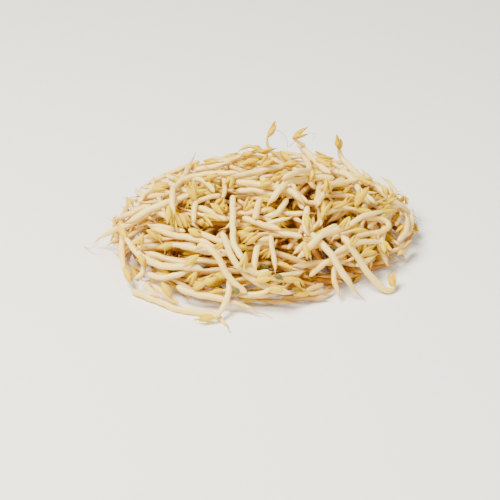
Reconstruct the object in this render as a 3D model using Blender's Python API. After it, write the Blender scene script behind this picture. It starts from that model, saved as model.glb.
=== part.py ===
"""A tangled heap of mung bean sprouts lying on a flat surface, in metres, +Z up.

The sprouts that show are drawn as an eye in front of the heap and above it sees them, and each
is moved back along its lines of sight to the heap's form. Random sprouts fill the heap below.
Every sprout is laid on the ones that already lie there, so the heap is built from the bottom up.
Sprouts that press on each other are joined there in bunches of up to seven.
"""

import math

import bmesh
import bpy
import numpy as np

MM = 0.001
BUNCH_NAME = "sprouts_%02d"

# Driving dimensions of the heap, in millimetres
HEAP_CENTRE = (8.0, 14.0)
HEAP_RADII = (112.0, 92.0)
HEAP_HEIGHT = 46.0
HEAP_TURN = math.radians(14)
DOME_POWER = 0.6
BOX_MIDDLE = (5.2, -0.8)

# Driving dimensions of a sprout, in millimetres
FILL_LENGTH = (42.0, 64.0)
FILL_RADIUS = (1.6, 2.1)
FILL_ROOT = (9.0, 24.0)
FILL_BOW = (-1.0, 7.0)
ROOT_RADIUS = 0.45
ROOT_THIN = 0.2
ROOT_SWELL = 0.8
NECK_LENGTH = 10.0
NECK_TAPER = 0.35
END_LENGTH = 3.0
END_TAPER = 0.4
HEAD_LENGTH = 10.5
HEAD_ROOM = 2.7
HEAD_SUNK = 1.6
HEAD_LEAN = (0.3, 0.0, 1.0)
TAN_SHARE = 0.7

# Seed leaves of a closed and of an open head: turn to the side and roll in radians, share of the
# head's length, half width and half thickness. A leaf is widest at this share of its length, and
# each leaf of a head starts this much deeper in the neck than the one before.
BEAN_LEAVES = ((0.10, 0.13, 0.90, 2.0, 1.6), (-0.15, -0.31, 0.84, 1.9, 1.5))
OPEN_LEAVES = ((0.15, 0.17, 1.0, 1.5, 0.9), (-0.18, -0.29, 0.92, 1.4, 0.9), (0.03, 0.53, 0.62, 1.9, 1.6))
LEAF_WIDEST = 0.4
LEAF_STAGGER = 0.15

# The fill: how many sprouts, how they curl, and how full of the form they are laid
SEED = 11
FILL_COUNT = 90
FILL_TRIES = 10
FILL_CURL = 0.010
PLAN_POINTS = 25
FILL_SHARE = 0.72
FILL_REACH = 0.93
HEAD_CHANCES = (0.56, 0.26, 0.18)

# Laying: clearances in millimetres, and the steps that a sprout's path is cut into
GAP = 0.3
SAMPLE = 1.0
STEEPEST = 1.0
BALANCE = 0.55
SLOPE_TRIES = 30
SOFTENING = 12
LIMPNESS = 0.25
SAG = 0.12
LIFTS = 3
SHOWN_SIDES, SHOWN_STEP, SHOWN_TURN = 5, 9.0, math.radians(28)
FILL_SIDES, FILL_STEP, FILL_TURN = 4, 11.0, math.radians(36)

# Where sprouts press on each other, and how many of them one bunch holds
MOST_BUNCHES = 58
MOST_IN_BUNCH = 7
PRESS_REACH = 2.0
PRESS_RADIUS = 0.8
PRESS_STEM = 1.15
PRESS_SIDES = 4
FLAT = 0.03
SHORTEST_EDGE = 0.01
UPRIGHT = 0.9

# The eye that the shown sprouts are drawn for, and the height at which its lines of sight start
EYE = (0.0, -951.0, 567.0)
SIGHT_TOP = 60.0
SIGHT_STEP = 0.25

# The sprouts that stand up out of the heap, and how far behind the origin each stands
STANDING = {"mast_a": 62.0, "mast_b": 58.0}

# How a route's bends are eased: the spacing of its points, and how often each moves to its neighbours
EASE_STEP = 1.0
EASINGS = 14

NONE, LEAF, BEAN = "none", "leaf", "bean"

# Each shown sprout: its name, its stem's radius, its head, its root's length, how deep under the
# heap's form it runs, and its path from root to head, as seen: millimetres to the right of the
# heap's origin and up, across the line of sight. The lowest sprouts come first.
SHOWN = (
    ("front_root", 2.0, NONE, 34, 4, ((14, -44), (-2, -36), (-27, -29), (-39, -28), (-47, -23))),
    ("front_long", 1.9, NONE, 20, 4, ((-12, -53), (-22, -43), (-44, -40), (-60, -32), (-76, -26))),
    ("front_stub", 1.7, NONE, 6, 4, ((-58, -35), (-64, -27), (-68, -21))),
    ("left_drop", 1.9, BEAN, 8, 4, ((-81, 13), (-82, -2), (-80, -15), (-76, -20))),
    ("left_stub", 1.7, NONE, 6, 6, ((-76, -26), (-69, -17), (-67, -4))),
    ("far_left", 1.9, NONE, 20, 3, ((-101, 4), (-88, 13), (-76, 17), (-64, 24))),
    ("left_arch", 1.9, NONE, 16, 5, ((-89, 19), (-71, 23), (-55, 20), (-38, 17))),
    ("back_left", 1.9, NONE, 10, 5, ((-74, 39), (-66, 34), (-50, 37))),
    ("back_leaf", 1.6, LEAF, 2, 8, ((-74, 24), (-66, 31), (-53, 34))),
    ("low_leaf", 1.8, LEAF, 8, 4, ((-13, -12), (-13, -25), (-16, -41), (-23, -47), (-34, -47))),
    ("right_low", 1.9, NONE, 8, 8, ((25, -11), (43, -9), (62, -7))),
    ("right_stub", 1.6, NONE, 8, 6, ((58, -31), (54, -20), (54, -10))),
    ("right_under", 1.6, NONE, 10, 8, ((72, 1), (58, -8), (38, -17))),
    ("right_far", 2.1, LEAF, 18, 9, ((109, 19), (90, 29), (71, 45), (59, 57), (56, 73))),
    ("right_hook", 1.7, LEAF, 8, 4, ((51, -8), (72, 1), (83, 4), (88, 1), (89, -6))),
    ("right_loop", 1.7, NONE, 8, 4, ((58, 0), (70, 9), (83, 11), (90, 15), (85, 20), (73, 20))),
    ("right_rim", 1.7, LEAF, 8, 5, ((59, 13), (76, 19), (91, 22))),
    ("right_edge", 1.8, NONE, 6, 3, ((65, 43), (72, 37), (80, 30))),
    ("pale_curve", 1.8, NONE, 8, 4, ((-36, -14), (-54, -19), (-66, -15))),
    ("left_big", 2.1, BEAN, 8, 2, ((-26, -14), (-50, -13), (-68, -6), (-78, 3), (-84, 8))),
    ("left_inner", 1.8, NONE, 6, 7, ((-69, -8), (-53, -8), (-37, -9))),
    ("left_front", 1.9, NONE, 6, 5, ((-64, -24), (-54, -30), (-46, -36))),
    ("middle_a", 2.1, NONE, 8, 3, ((-65, 15), (-47, 9), (-32, 7), (-19, -3))),
    ("middle_b", 1.9, NONE, 8, 4, ((-39, 13), (-24, 6), (-9, 3))),
    ("middle_c", 2.0, BEAN, 6, 3, ((-14, -8), (-34, -1), (-47, 4), (-60, 1))),
    ("middle_leaf", 1.5, LEAF, 8, 3, ((-8, 7), (-15, 0), (-23, -8))),
    ("front_bar", 2.0, NONE, 6, 1, ((28, -28), (10, -24), (-9, -12), (-18, 1))),
    ("front_leaf", 1.7, LEAF, 6, 2, ((-9, -29), (-1, -28), (9, -33), (16, -33), (22, -38))),
    ("front_bean", 1.8, BEAN, 6, 3, ((-12, -19), (6, -22), (22, -24), (31, -21))),
    ("middle_arch", 1.9, NONE, 8, 3, ((3, -16), (4, 1), (8, 7), (15, 7))),
    ("middle_drop", 1.6, NONE, 8, 4, ((17, -16), (15, -5), (13, 6))),
    ("cross_a", 2.0, NONE, 6, 3, ((22, 12), (3, 18), (-5, 21))),
    ("cross_b", 2.0, NONE, 6, 2, ((7, 35), (5, 27), (3, 17))),
    ("cross_c", 1.8, NONE, 6, 2, ((7, 21), (17, 23), (24, 33))),
    ("cross_d", 1.9, NONE, 6, 4, ((27, -3), (40, 8), (56, 16))),
    ("right_leaf", 1.8, LEAF, 6, 4, ((45, 22), (58, 27), (76, 25))),
    ("right_upper", 1.9, NONE, 6, 3, ((42, 28), (44, 37), (45, 47))),
    ("right_bend", 1.9, NONE, 6, 2, ((42, 25), (53, 42), (61, 45))),
    ("right_drop", 1.9, NONE, 6, 1, ((38, 8), (35, 17), (37, 28))),
    ("spear_a", 2.1, NONE, 18, 0, ((73, -32), (62, -20), (50, -5), (39, 10))),
    ("spear_b", 2.1, LEAF, 10, 0, ((57, 12), (62, -1), (79, -20), (89, -28), (93, -25), (89, -17))),
    ("right_top", 2.0, NONE, 8, 2, ((49, 51), (64, 44), (71, 35), (76, 28))),
    ("right_inner", 1.9, LEAF, 6, 2, ((43, 34), (55, 38), (66, 40), (78, 34))),
    ("right_cross", 1.9, NONE, 8, 3, ((28, -8), (40, -4), (53, 4), (64, 9))),
    ("middle_bar", 2.0, NONE, 6, 3, ((-40, 28), (-28, 26), (-15, 19))),
    ("front_cross", 1.9, NONE, 8, 2, ((-36, -2), (-24, -13), (-11, -26), (-2, -31))),
    ("left_upper", 1.8, LEAF, 6, 3, ((-57, 45), (-45, 40), (-32, 34))),
    ("crown_back", 1.9, NONE, 6, 3, ((-2, 58), (6, 49), (15, 38), (28, 32))),
    ("back_stub", 1.8, NONE, 16, 3, ((-35, 62), (-38, 55), (-43, 45))),
    ("back_leaf_b", 1.7, LEAF, 6, 3, ((-19, 54), (-8, 58), (4, 58))),
    ("back_bar", 1.8, NONE, 6, 4, ((-9, 53), (0, 52), (13, 52))),
    ("back_arch", 1.8, LEAF, 6, 3, ((-8, 63), (0, 68), (10, 62))),
    ("left_long", 2.2, LEAF, 8, 1, ((-81, 11), (-63, 22), (-45, 30), (-28, 36))),
    ("left_neck", 1.6, NONE, 4, 2, ((-17, 36), (-34, 29), (-36, 18))),
    ("left_loop", 1.7, LEAF, 6, 1, ((-22, 35), (-29, 44), (-36, 45), (-38, 37))),
    ("left_tall", 1.9, LEAF, 10, 0, ((-3, 49), (-25, 49), (-42, 45), (-49, 34), (-49, 20), (-46, 12))),
    ("crown_a", 1.9, NONE, 6, 2, ((-12, 38), (6, 38), (18, 34))),
    ("crown_b", 2.2, NONE, 8, 0, ((36, 28), (19, 37), (-10, 43))),
    ("crown_c", 2.0, BEAN, 8, 0, ((23, 54), (3, 49), (-10, 44), (-14, 37))),
    ("crown_d", 2.0, NONE, 8, 0, ((10, 27), (24, 36), (38, 45), (54, 45))),
    ("crown_e", 1.9, NONE, 6, 0, ((20, 33), (35, 44), (38, 52), (34, 62))),
    ("crown_f", 2.1, NONE, 6, 0, ((52, 46), (37, 59), (31, 68))),
    ("crown_g", 1.9, NONE, 6, 0, ((-2, -14), (-10, -3), (-11, 16), (-11, 35))),
    ("mast_a", 1.2, LEAF, 2, 0, ((24, 52), (12, 65), (11, 72), (15, 82))),
    ("mast_b", 1.2, LEAF, 2, 0, ((36, 58), (28, 70), (30, 76), (36, 77))),
)

STEM_COLOUR = (0.78, 0.66, 0.45, 1.0)
LEAF_COLOUR = (0.72, 0.48, 0.06, 1.0)
ROOT_COLOUR = (0.45, 0.25, 0.10, 1.0)
STEM_FACES, LEAF_FACES, ROOT_FACES = range(3)


def dome(plan):
    """Height of the heap's form over points of the plan, less than nothing outside its outline."""
    along = np.array([math.cos(HEAP_TURN), math.sin(HEAP_TURN)])
    across = np.array([-along[1], along[0]])
    offset = plan - np.array(HEAP_CENTRE)
    reach = (offset @ along / HEAP_RADII[0]) ** 2 + (offset @ across / HEAP_RADII[1]) ** 2
    return HEAP_HEIGHT * np.sign(1 - reach) * np.abs(1 - reach) ** DOME_POWER


def sight(right, up):
    """The eye, and the way from it to a drawn point."""
    eye = np.array(EYE)
    back = eye / np.linalg.norm(eye)
    return eye, right * np.array([1, 0, 0]) + up * np.array([0, back[2], -back[1]]) - eye


def standing_point(right, up, behind):
    """Where a line of sight crosses the upright plane this far behind the origin."""
    eye, way = sight(right, up)
    return eye + way * (behind - eye[1]) / way[1]


def seen_point(right, up, depth):
    """Where a line of sight comes this deep under the heap's form, or else where it passes closest."""
    eye, way = sight(right, up)
    heights = np.arange(SIGHT_TOP, 0, -SIGHT_STEP)
    line = eye + way * ((heights - eye[2]) / way[2])[:, None]
    above = line[:, 2] - dome(line[:, :2]) + depth
    under = np.flatnonzero(above <= 0)
    return line[under[0] if len(under) else above.argmin()]


def smooth_curve(points, per_span=12):
    """A Catmull-Rom curve through the points."""
    ends = np.vstack([2 * points[0] - points[1], points, 2 * points[-1] - points[-2]])
    t = np.linspace(0, 1, per_span, endpoint=False)[:, None]
    spans = [
        b + 0.5 * ((c - a) * t + (2 * a - 5 * b + 4 * c - d) * t**2 + (3 * b - a - 3 * c + d) * t**3)
        for a, b, c, d in zip(ends, ends[1:], ends[2:], ends[3:])
    ]
    return np.vstack([*spans, points[-1:]])


def lengths_along(points):
    steps = np.linalg.norm(np.diff(points, axis=0), axis=1)
    return np.concatenate([[0], np.cumsum(steps)])


def at_lengths(points, lengths, wanted):
    return np.column_stack([np.interp(wanted, lengths, column) for column in points.T])


def eased(curve):
    """The curve with its bends rounded off, as a stem takes no sharp bend. Its ends stay."""
    lengths = lengths_along(curve)
    count = math.ceil(lengths[-1] / EASE_STEP)
    even = at_lengths(curve, lengths, np.linspace(0, lengths[-1], count + 1))
    for _ in range(EASINGS):
        even[1:-1] = even[1:-1] / 2 + (even[:-2] + even[2:]) / 4
    return even


def cut_into_steps(curve, head, longest, most_turn):
    """Fewer points where the curve is straight and more in its bends, with the head one straight step."""
    lengths = lengths_along(curve)
    stem = lengths[-1] - (HEAD_LENGTH if head != NONE else 0)
    directions = np.diff(curve, axis=0) / np.diff(lengths)[:, None]
    turns = np.arccos(np.clip((directions[1:] * directions[:-1]).sum(1), -1, 1)) / most_turn
    weights = np.diff(lengths) / longest
    weights[1:] += turns / 2
    weights[:-1] += turns / 2
    effort = np.concatenate([[0], np.cumsum(weights)])
    stem_effort = np.interp(stem, lengths, effort)
    count = max(4, math.ceil(stem_effort))
    wanted = np.interp(np.linspace(0, stem_effort, count + 1), effort, lengths)
    if head != NONE:
        wanted = np.append(wanted, lengths[-1])
    return at_lengths(curve, lengths, wanted)


def stem_radii(lengths, radius, head, root):
    """A sprout's radius along its path: a thin root, the stem, and a neck or a blunt end."""
    share = np.clip((lengths / root - ROOT_THIN) / (1 - ROOT_THIN), 0, 1)
    grown = ROOT_RADIUS + (radius - ROOT_RADIUS) * share**ROOT_SWELL
    to_end = lengths[-1] - lengths
    if head == NONE:
        return np.minimum(grown, radius * (1 - END_TAPER * np.clip(1 - to_end / END_LENGTH, 0, 1)))
    return grown * (1 - NECK_TAPER * np.clip(1 - (to_end - HEAD_LENGTH) / NECK_LENGTH, 0, 1))


class Sprout:
    """One sprout: its path, its radii, and close samples of both for testing clearances."""

    def __init__(self, name, path, radius, head, root, sides):
        self.name, self.head, self.root, self.sides = name, head, root, sides
        self.plan = path[:, :2]
        self.lengths = lengths_along(path)
        self.radii = stem_radii(self.lengths, radius, head, root)
        self.heights = path[:, 2].copy() if path.shape[1] == 3 else np.zeros(len(path))
        counts = np.maximum(np.ceil(np.diff(self.lengths) / SAMPLE).astype(int), 1)
        self.step = np.append(np.repeat(np.arange(len(counts)), counts), len(counts) - 1)
        self.part = np.append(np.concatenate([np.arange(n) / n for n in counts]), 1.0)
        self.along = self.between(self.lengths)
        self.spots = np.column_stack([self.between(column) for column in self.plan.T])
        self.room = self.between(self.radii)
        self.rest = self.room * math.cos(math.pi / sides)
        if head != NONE:
            in_head = self.step == len(counts) - 1
            self.room[in_head] = self.rest[in_head] = HEAD_ROOM

    def between(self, values):
        """Values at the path's points, read at the close samples."""
        return values[self.step] * (1 - self.part) + values[self.step + 1] * self.part

    def path(self):
        return np.column_stack([self.plan, self.heights])

    def samples(self):
        return np.column_stack([self.spots, self.between(self.heights)])


class Heap:
    """The sprouts laid so far."""

    def __init__(self):
        self.sprouts = []
        self.samples = np.zeros((0, 3))
        self.room = np.zeros(0)

    def least_heights(self, sprout):
        """How high each sample of a new sprout must lie to clear the table and what lies below it."""
        least = sprout.rest
        apart = np.abs(self.samples[:, None, :2] - sprout.spots[None]).max(2)
        near = (apart < 2 * HEAD_ROOM + GAP).any(1)
        if not near.any():
            return least
        samples, room = self.samples[near], self.room[near]
        sideways = ((samples[:, None, :2] - sprout.spots[None]) ** 2).sum(2)
        reach = (room[:, None] + sprout.room[None] + GAP) ** 2 - sideways
        over = np.where(reach > 0, samples[:, 2:] + np.sqrt(np.maximum(reach, 0)), 0)
        return np.maximum(least, over.max(0))

    def top_at(self, plan):
        """Height of the highest sprout within a stem's width of each point."""
        apart = np.abs(self.samples[:, None, :2] - plan[None]).max(2)
        return np.where(apart < 2 * GAP + FILL_RADIUS[1], self.samples[:, 2:], 0).max(0, initial=0)

    def add(self, sprout):
        self.sprouts.append(sprout)
        self.samples = np.vstack([self.samples, sprout.samples()])
        self.room = np.concatenate([self.room, sprout.room])


def lift_clear(sprout, least):
    """Raise the path's points until every sample clears what it must."""
    for _ in range(LIFTS):
        short = least - sprout.between(sprout.heights)
        if short.max() <= 0:
            return
        raised = np.zeros(len(sprout.heights))
        np.maximum.at(raised, sprout.step, short * (sprout.part < 1))
        np.maximum.at(raised, sprout.step + 1, short * (sprout.part > 0))
        sprout.heights += np.maximum(raised, 0)


def soften(sprout, least, rounds, sag):
    """Bend the path a little towards what it lies on, as a limp stem does."""
    steps = np.diff(sprout.lengths)
    before = np.append(steps[:1], steps)
    after = np.append(steps, steps[-1:])
    for _ in range(rounds):
        slopes = np.diff(sprout.heights) / steps
        bend = np.append(slopes, slopes[-1:]) - np.append(slopes[:1], slopes)
        sprout.heights += LIMPNESS * bend * before * after / (before + after) - sag
        lift_clear(sprout, least)


def lay_stiff(sprout, least, bow):
    """Rest an arched sprout on the two supports either side of its balance point."""
    total = sprout.lengths[-1]
    balance = BALANCE * total

    def arch(lengths):
        return 4 * bow * (lengths / total) * (1 - lengths / total)

    need = least - arch(sprout.along)
    low, high = -STEEPEST, STEEPEST
    for _ in range(SLOPE_TRIES):
        third = (high - low) / 3
        heights = [(need - slope * (sprout.along - balance)).max() for slope in (low + third, high - third)]
        if heights[0] < heights[1]:
            high -= third
        else:
            low += third
    slope = (low + high) / 2
    height = (need - slope * (sprout.along - balance)).max()
    sprout.heights = height + slope * (sprout.lengths - balance) + arch(sprout.lengths)
    lift_clear(sprout, least)


def random_plan(rng):
    """The plan of one gently curled sprout that lies within the heap's outline."""
    while True:
        length = rng.uniform(*FILL_LENGTH)
        angle, reach = rng.uniform(0, 2 * math.pi), math.sqrt(rng.uniform())
        offset = reach * np.array([HEAP_RADII[0] * math.cos(angle), HEAP_RADII[1] * math.sin(angle)])
        cosine, sine = math.cos(HEAP_TURN), math.sin(HEAP_TURN)
        turn = np.array([[cosine, sine], [-sine, cosine]])
        along = np.linspace(-0.5, 0.5, PLAN_POINTS) * length
        curl = rng.normal(0, FILL_CURL, 2)
        heading = rng.uniform(0, 2 * math.pi) + curl[0] * along + curl[1] * along * np.abs(along) / length
        steps = np.column_stack([np.cos(heading), np.sin(heading)]) * length / (PLAN_POINTS - 1)
        plan = np.cumsum(steps, axis=0)
        plan += np.array(HEAP_CENTRE) + offset @ turn - plan.mean(axis=0)
        if dome(plan / FILL_REACH + np.array(HEAP_CENTRE) * (1 - 1 / FILL_REACH)).min() > 0:
            return plan


def lay_fill(heap, rng, count):
    """Lay random sprouts, each where the heap is furthest from its form, and held up by the tangle."""
    for number in range(count):
        plans = [random_plan(rng) for _ in range(FILL_TRIES)]
        lacking = [np.mean(FILL_SHARE * dome(plan) - heap.top_at(plan)) for plan in plans]
        head = rng.choice((NONE, LEAF, BEAN), p=HEAD_CHANCES)
        path = cut_into_steps(plans[int(np.argmax(lacking))], head, FILL_STEP, FILL_TURN)
        radius, root = rng.uniform(*FILL_RADIUS), rng.uniform(*FILL_ROOT)
        sprout = Sprout("fill_%02d" % number, path, radius, head, root, FILL_SIDES)
        held_up = FILL_SHARE * number / count * dome(sprout.spots)
        least = np.maximum(heap.least_heights(sprout), held_up)
        lay_stiff(sprout, least, rng.uniform(*FILL_BOW))
        soften(sprout, least, SOFTENING, SAG)
        heap.add(sprout)


def lay_shown(heap):
    """Lay the sprouts that show along their lines of sight."""
    for name, radius, head, root, depth, seen in SHOWN:
        if name in STANDING:
            route = np.array([standing_point(right, up, STANDING[name]) for right, up in seen])
        else:
            route = np.array([seen_point(right, up, depth) for right, up in seen])
        path = cut_into_steps(eased(smooth_curve(route)), head, SHOWN_STEP, SHOWN_TURN)
        sprout = Sprout(name, path, radius, head, root, SHOWN_SIDES)
        least = heap.least_heights(sprout)
        lift_clear(sprout, least)
        soften(sprout, least, SOFTENING, 0)
        heap.add(sprout)


def press_spots(heap):
    """Where pairs of sprouts come close enough to press on each other, tightest first."""
    owner = np.concatenate([np.full(len(s.room), k) for k, s in enumerate(heap.sprouts)])
    spots = []
    for one, sprout in enumerate(heap.sprouts):
        samples = sprout.samples()
        thick = (sprout.room > PRESS_STEM) & (sprout.room < HEAD_ROOM)
        for other in range(one + 1, len(heap.sprouts)):
            theirs = owner == other
            room = heap.room[theirs]
            apart = np.linalg.norm(samples[:, None] - heap.samples[theirs][None], axis=2)
            clear = apart - sprout.room[:, None] - room[None]
            clear[~thick] = np.inf
            clear[:, (room <= PRESS_STEM) | (room >= HEAD_ROOM)] = np.inf
            i, j = np.unravel_index(clear.argmin(), clear.shape)
            if clear[i, j] > PRESS_REACH:
                continue
            ends = samples[i], heap.samples[theirs][j]
            middle = (ends[0] + ends[1]) / 2
            strangers = (owner != one) & (owner != other)
            away = np.linalg.norm(heap.samples[strangers] - middle, axis=1) - heap.room[strangers]
            if away.min() > PRESS_RADIUS + GAP:
                spots.append((clear[i, j], one, other, ends))
    return sorted(spots, key=lambda spot: spot[:3])


def bunches(heap):
    """Sprouts grouped by the spots where they press on each other, and those spots."""
    group = list(range(len(heap.sprouts)))
    used = []
    spots = press_spots(heap)
    for size in range(2, MOST_IN_BUNCH + 1):
        for _, one, other, ends in spots:
            first, second = sorted((group[one], group[other]))
            joined = group.count(first) + group.count(second)
            if first == second or joined > size or len(set(group)) <= MOST_BUNCHES:
                continue
            group = [first if g == second else g for g in group]
            used.append((one, ends))
    return [
        ([k for k, g in enumerate(group) if g == name], [ends for one, ends in used if group[one] == name])
        for name in sorted(set(group))
    ]


def tube(path, radii, sides, tints):
    """A closed tube along a path, with a flat side down where it lies level."""
    steps = np.diff(path, axis=0)
    steps /= np.linalg.norm(steps, axis=1)[:, None]
    tangents = np.vstack([steps[:1], steps[1:] + steps[:-1], steps[-1:]])
    tangents /= np.linalg.norm(tangents, axis=1)[:, None]
    up = np.zeros_like(tangents)
    above = np.array([0.0, 1.0, 0.0] if abs(tangents[0, 2]) > UPRIGHT else [0.0, 0.0, 1.0])
    for ring, tangent in enumerate(tangents):
        above = above - tangent * (above @ tangent)
        above /= np.linalg.norm(above)
        up[ring] = above
    side = np.cross(tangents, up)
    angles = -math.pi / 2 + math.pi / sides + 2 * math.pi * np.arange(sides) / sides
    rings = path[:, None] + radii[:, None, None] * (
        side[:, None] * np.cos(angles)[:, None] + up[:, None] * np.sin(angles)[:, None]
    )
    rings[..., 2] = np.where(rings[..., 2] < FLAT, 0, rings[..., 2])
    faces = [tuple(range(sides))[::-1], tuple(range((len(path) - 1) * sides, len(path) * sides))]
    face_tints = [tints[0], tints[-1]]
    for ring in range(len(path) - 1):
        for k in range(sides):
            low, high = ring * sides, (ring + 1) * sides
            after = (k + 1) % sides
            faces.append((low + k, low + after, high + after, high + k))
            face_tints.append(tints[ring])
    return rings.reshape(-1, 3), faces, face_tints


def spindle(base, tip, half_width, half_thickness, flat_side, roll):
    """A pointed seed leaf with four sides."""
    along = (tip - base) / np.linalg.norm(tip - base)
    level = np.cross(along, flat_side)
    level /= np.linalg.norm(level)
    upright = np.cross(level, along)
    across = level * math.cos(roll) + upright * math.sin(roll)
    thick = upright * math.cos(roll) - level * math.sin(roll)
    middle = base + LEAF_WIDEST * (tip - base)
    ring = [middle + across * half_width, middle + thick * half_thickness]
    ring += [middle - across * half_width, middle - thick * half_thickness]
    points = np.vstack([base, ring, tip])
    faces = []
    for k in range(1, 5):
        after = k % 4 + 1
        faces += [(0, k, after), (k, 5, after)]
    return points, faces, [LEAF_FACES] * len(faces)


def head_bodies(sprout):
    """The seed leaves at a sprout's end, spread to both sides, sunk into the neck."""
    path = sprout.path()
    axis = path[-1] - path[-2]
    length = np.linalg.norm(axis)
    axis /= length
    side = np.cross(axis, HEAD_LEAN)
    side /= np.linalg.norm(side)
    leaves = BEAN_LEAVES if sprout.head == BEAN else OPEN_LEAVES
    bodies = []
    for number, (spread, roll, share, half_width, half_thickness) in enumerate(leaves):
        direction = axis * math.cos(spread) + side * math.sin(spread)
        base = path[-2] - (HEAD_SUNK + number * LEAF_STAGGER) * axis
        tip = base + direction * (share * length + HEAD_SUNK)
        bodies.append(spindle(base, tip, half_width, half_thickness, side, roll))
    return bodies


def sprout_bodies(sprout):
    """A sprout's stem with its root, and its head."""
    path = sprout.path()
    tan = sprout.lengths[1:] < TAN_SHARE * sprout.root
    tints = np.where(tan, ROOT_FACES, STEM_FACES).tolist()
    if sprout.head == NONE:
        return [tube(path, sprout.radii, sprout.sides, tints)]
    return [tube(path[:-1], sprout.radii[:-1], sprout.sides, tints[:-1]), *head_bodies(sprout)]


def press_body(ends):
    """The short neck that joins two sprouts where they press on each other."""
    return tube(np.array(ends), np.full(2, PRESS_RADIUS), PRESS_SIDES, [STEM_FACES])


def new_material(name, colour, roughness):
    material = bpy.data.materials.new(name)
    material.use_nodes = True
    material.diffuse_color = colour
    shader = material.node_tree.nodes["Principled BSDF"]
    shader.inputs["Base Color"].default_value = colour
    shader.inputs["Roughness"].default_value = roughness
    shader.inputs["Metallic"].default_value = 0.0
    return material


def new_object(name, body, materials, collection):
    points, faces, tints = body
    mesh = bpy.data.meshes.new(name)
    placed = (points - np.array([*BOX_MIDDLE, 0])) * MM
    mesh.from_pydata(placed.tolist(), [], faces)
    for material in materials:
        mesh.materials.append(material)
    mesh.polygons.foreach_set("material_index", tints)
    made = bpy.data.objects.new(name, mesh)
    collection.objects.link(made)
    return made


def joined(name, bodies, materials):
    """One object of overlapping bodies, by a Boolean union."""
    scene = bpy.context.scene.collection
    whole = new_object(name, bodies[0], materials, scene)
    parts = bpy.data.collections.new(name + "_parts")
    scene.children.link(parts)
    for number, body in enumerate(bodies[1:]):
        new_object("%s_part_%02d" % (name, number), body, materials, parts)
    union = whole.modifiers.new("union", "BOOLEAN")
    union.operation = "UNION"
    union.operand_type = "COLLECTION"
    union.collection = parts
    union.solver = "EXACT"
    depsgraph = bpy.context.evaluated_depsgraph_get()
    mesh = bpy.data.meshes.new_from_object(whole.evaluated_get(depsgraph))
    clean = bmesh.new()
    clean.from_mesh(mesh)
    bmesh.ops.remove_doubles(clean, verts=clean.verts, dist=SHORTEST_EDGE * MM)
    clean.to_mesh(mesh)
    clean.free()
    whole.modifiers.clear()
    whole.data = mesh
    for part in list(parts.objects):
        bpy.data.objects.remove(part)
    bpy.data.collections.remove(parts)
    return whole


def build():
    """The whole heap, one object a bunch."""
    for old in list(bpy.data.objects):
        bpy.data.objects.remove(old)
    rng = np.random.default_rng(SEED)
    heap = Heap()
    lay_fill(heap, rng, FILL_COUNT)
    lay_shown(heap)
    leaf = new_material("seed_leaf", LEAF_COLOUR, 0.5)
    root = new_material("root", ROOT_COLOUR, 0.7)
    for number, (members, spots) in enumerate(bunches(heap), 1):
        name = BUNCH_NAME % number
        stem = new_material(name + "_stem", STEM_COLOUR, 0.4)
        bodies = [body for k in members for body in sprout_bodies(heap.sprouts[k])]
        bodies += [press_body(ends) for ends in spots]
        bunch = joined(name, bodies, (stem, leaf, root))
        bunch.data.shade_smooth()
    return heap


heap = build()
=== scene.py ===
# %% [markdown]
# # A heap of mung bean sprouts
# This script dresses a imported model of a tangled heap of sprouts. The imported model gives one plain
# solid for each bunch of sprouts. Here every sprout gets its round stem, its thin root with hairs,
# and its yellow seed leaves, all in the same places as in the solids.

import math

import bpy
import numpy as np
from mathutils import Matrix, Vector


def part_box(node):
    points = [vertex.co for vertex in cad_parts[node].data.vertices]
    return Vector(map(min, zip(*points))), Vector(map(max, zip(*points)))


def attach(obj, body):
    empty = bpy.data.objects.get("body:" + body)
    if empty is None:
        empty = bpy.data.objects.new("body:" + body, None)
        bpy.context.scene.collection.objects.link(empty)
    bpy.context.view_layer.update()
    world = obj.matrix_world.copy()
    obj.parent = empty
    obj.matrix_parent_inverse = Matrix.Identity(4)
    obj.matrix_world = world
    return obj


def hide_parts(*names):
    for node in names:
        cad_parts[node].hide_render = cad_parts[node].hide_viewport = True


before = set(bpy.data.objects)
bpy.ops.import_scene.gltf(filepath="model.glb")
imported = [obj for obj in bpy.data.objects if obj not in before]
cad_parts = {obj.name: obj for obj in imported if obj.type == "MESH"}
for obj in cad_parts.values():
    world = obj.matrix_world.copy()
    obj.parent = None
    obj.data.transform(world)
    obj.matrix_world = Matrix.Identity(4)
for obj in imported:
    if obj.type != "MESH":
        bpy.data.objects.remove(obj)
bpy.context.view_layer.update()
bunch_nodes = sorted(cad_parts)
print("bunches in the packed model:", len(bunch_nodes))

# %% [markdown]
# ## The heap's form
# A real heap is tipped out, and each sprout comes to rest on the ones below. The heap could be
# dropped in a physics run, but a rule that lays one sprout after another is faster, and it gives
# the same heap each time. The solids were made with this rule, so the same numbers and the same
# seed give the same sprouts here. All lengths are in millimetres until a mesh is made.

# %% The sizes of the heap and of a sprout
MM = 0.001
HEAP_CENTRE = (8.0, 14.0)
HEAP_RADII = (112.0, 92.0)
HEAP_HEIGHT = 46.0
HEAP_TURN = math.radians(14)
DOME_POWER = 0.6
BOX_MIDDLE = (5.2, -0.8)

FILL_LENGTH = (42.0, 64.0)
FILL_RADIUS = (1.6, 2.1)
FILL_ROOT = (9.0, 24.0)
FILL_BOW = (-1.0, 7.0)
ROOT_RADIUS, ROOT_THIN, ROOT_SWELL = 0.45, 0.2, 0.8
NECK_LENGTH, NECK_TAPER = 10.0, 0.35
END_LENGTH, END_TAPER = 3.0, 0.4
HEAD_LENGTH, HEAD_ROOM, HEAD_SUNK = 10.5, 2.7, 1.6
HEAD_LEAN = (0.3, 0.0, 1.0)

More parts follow.
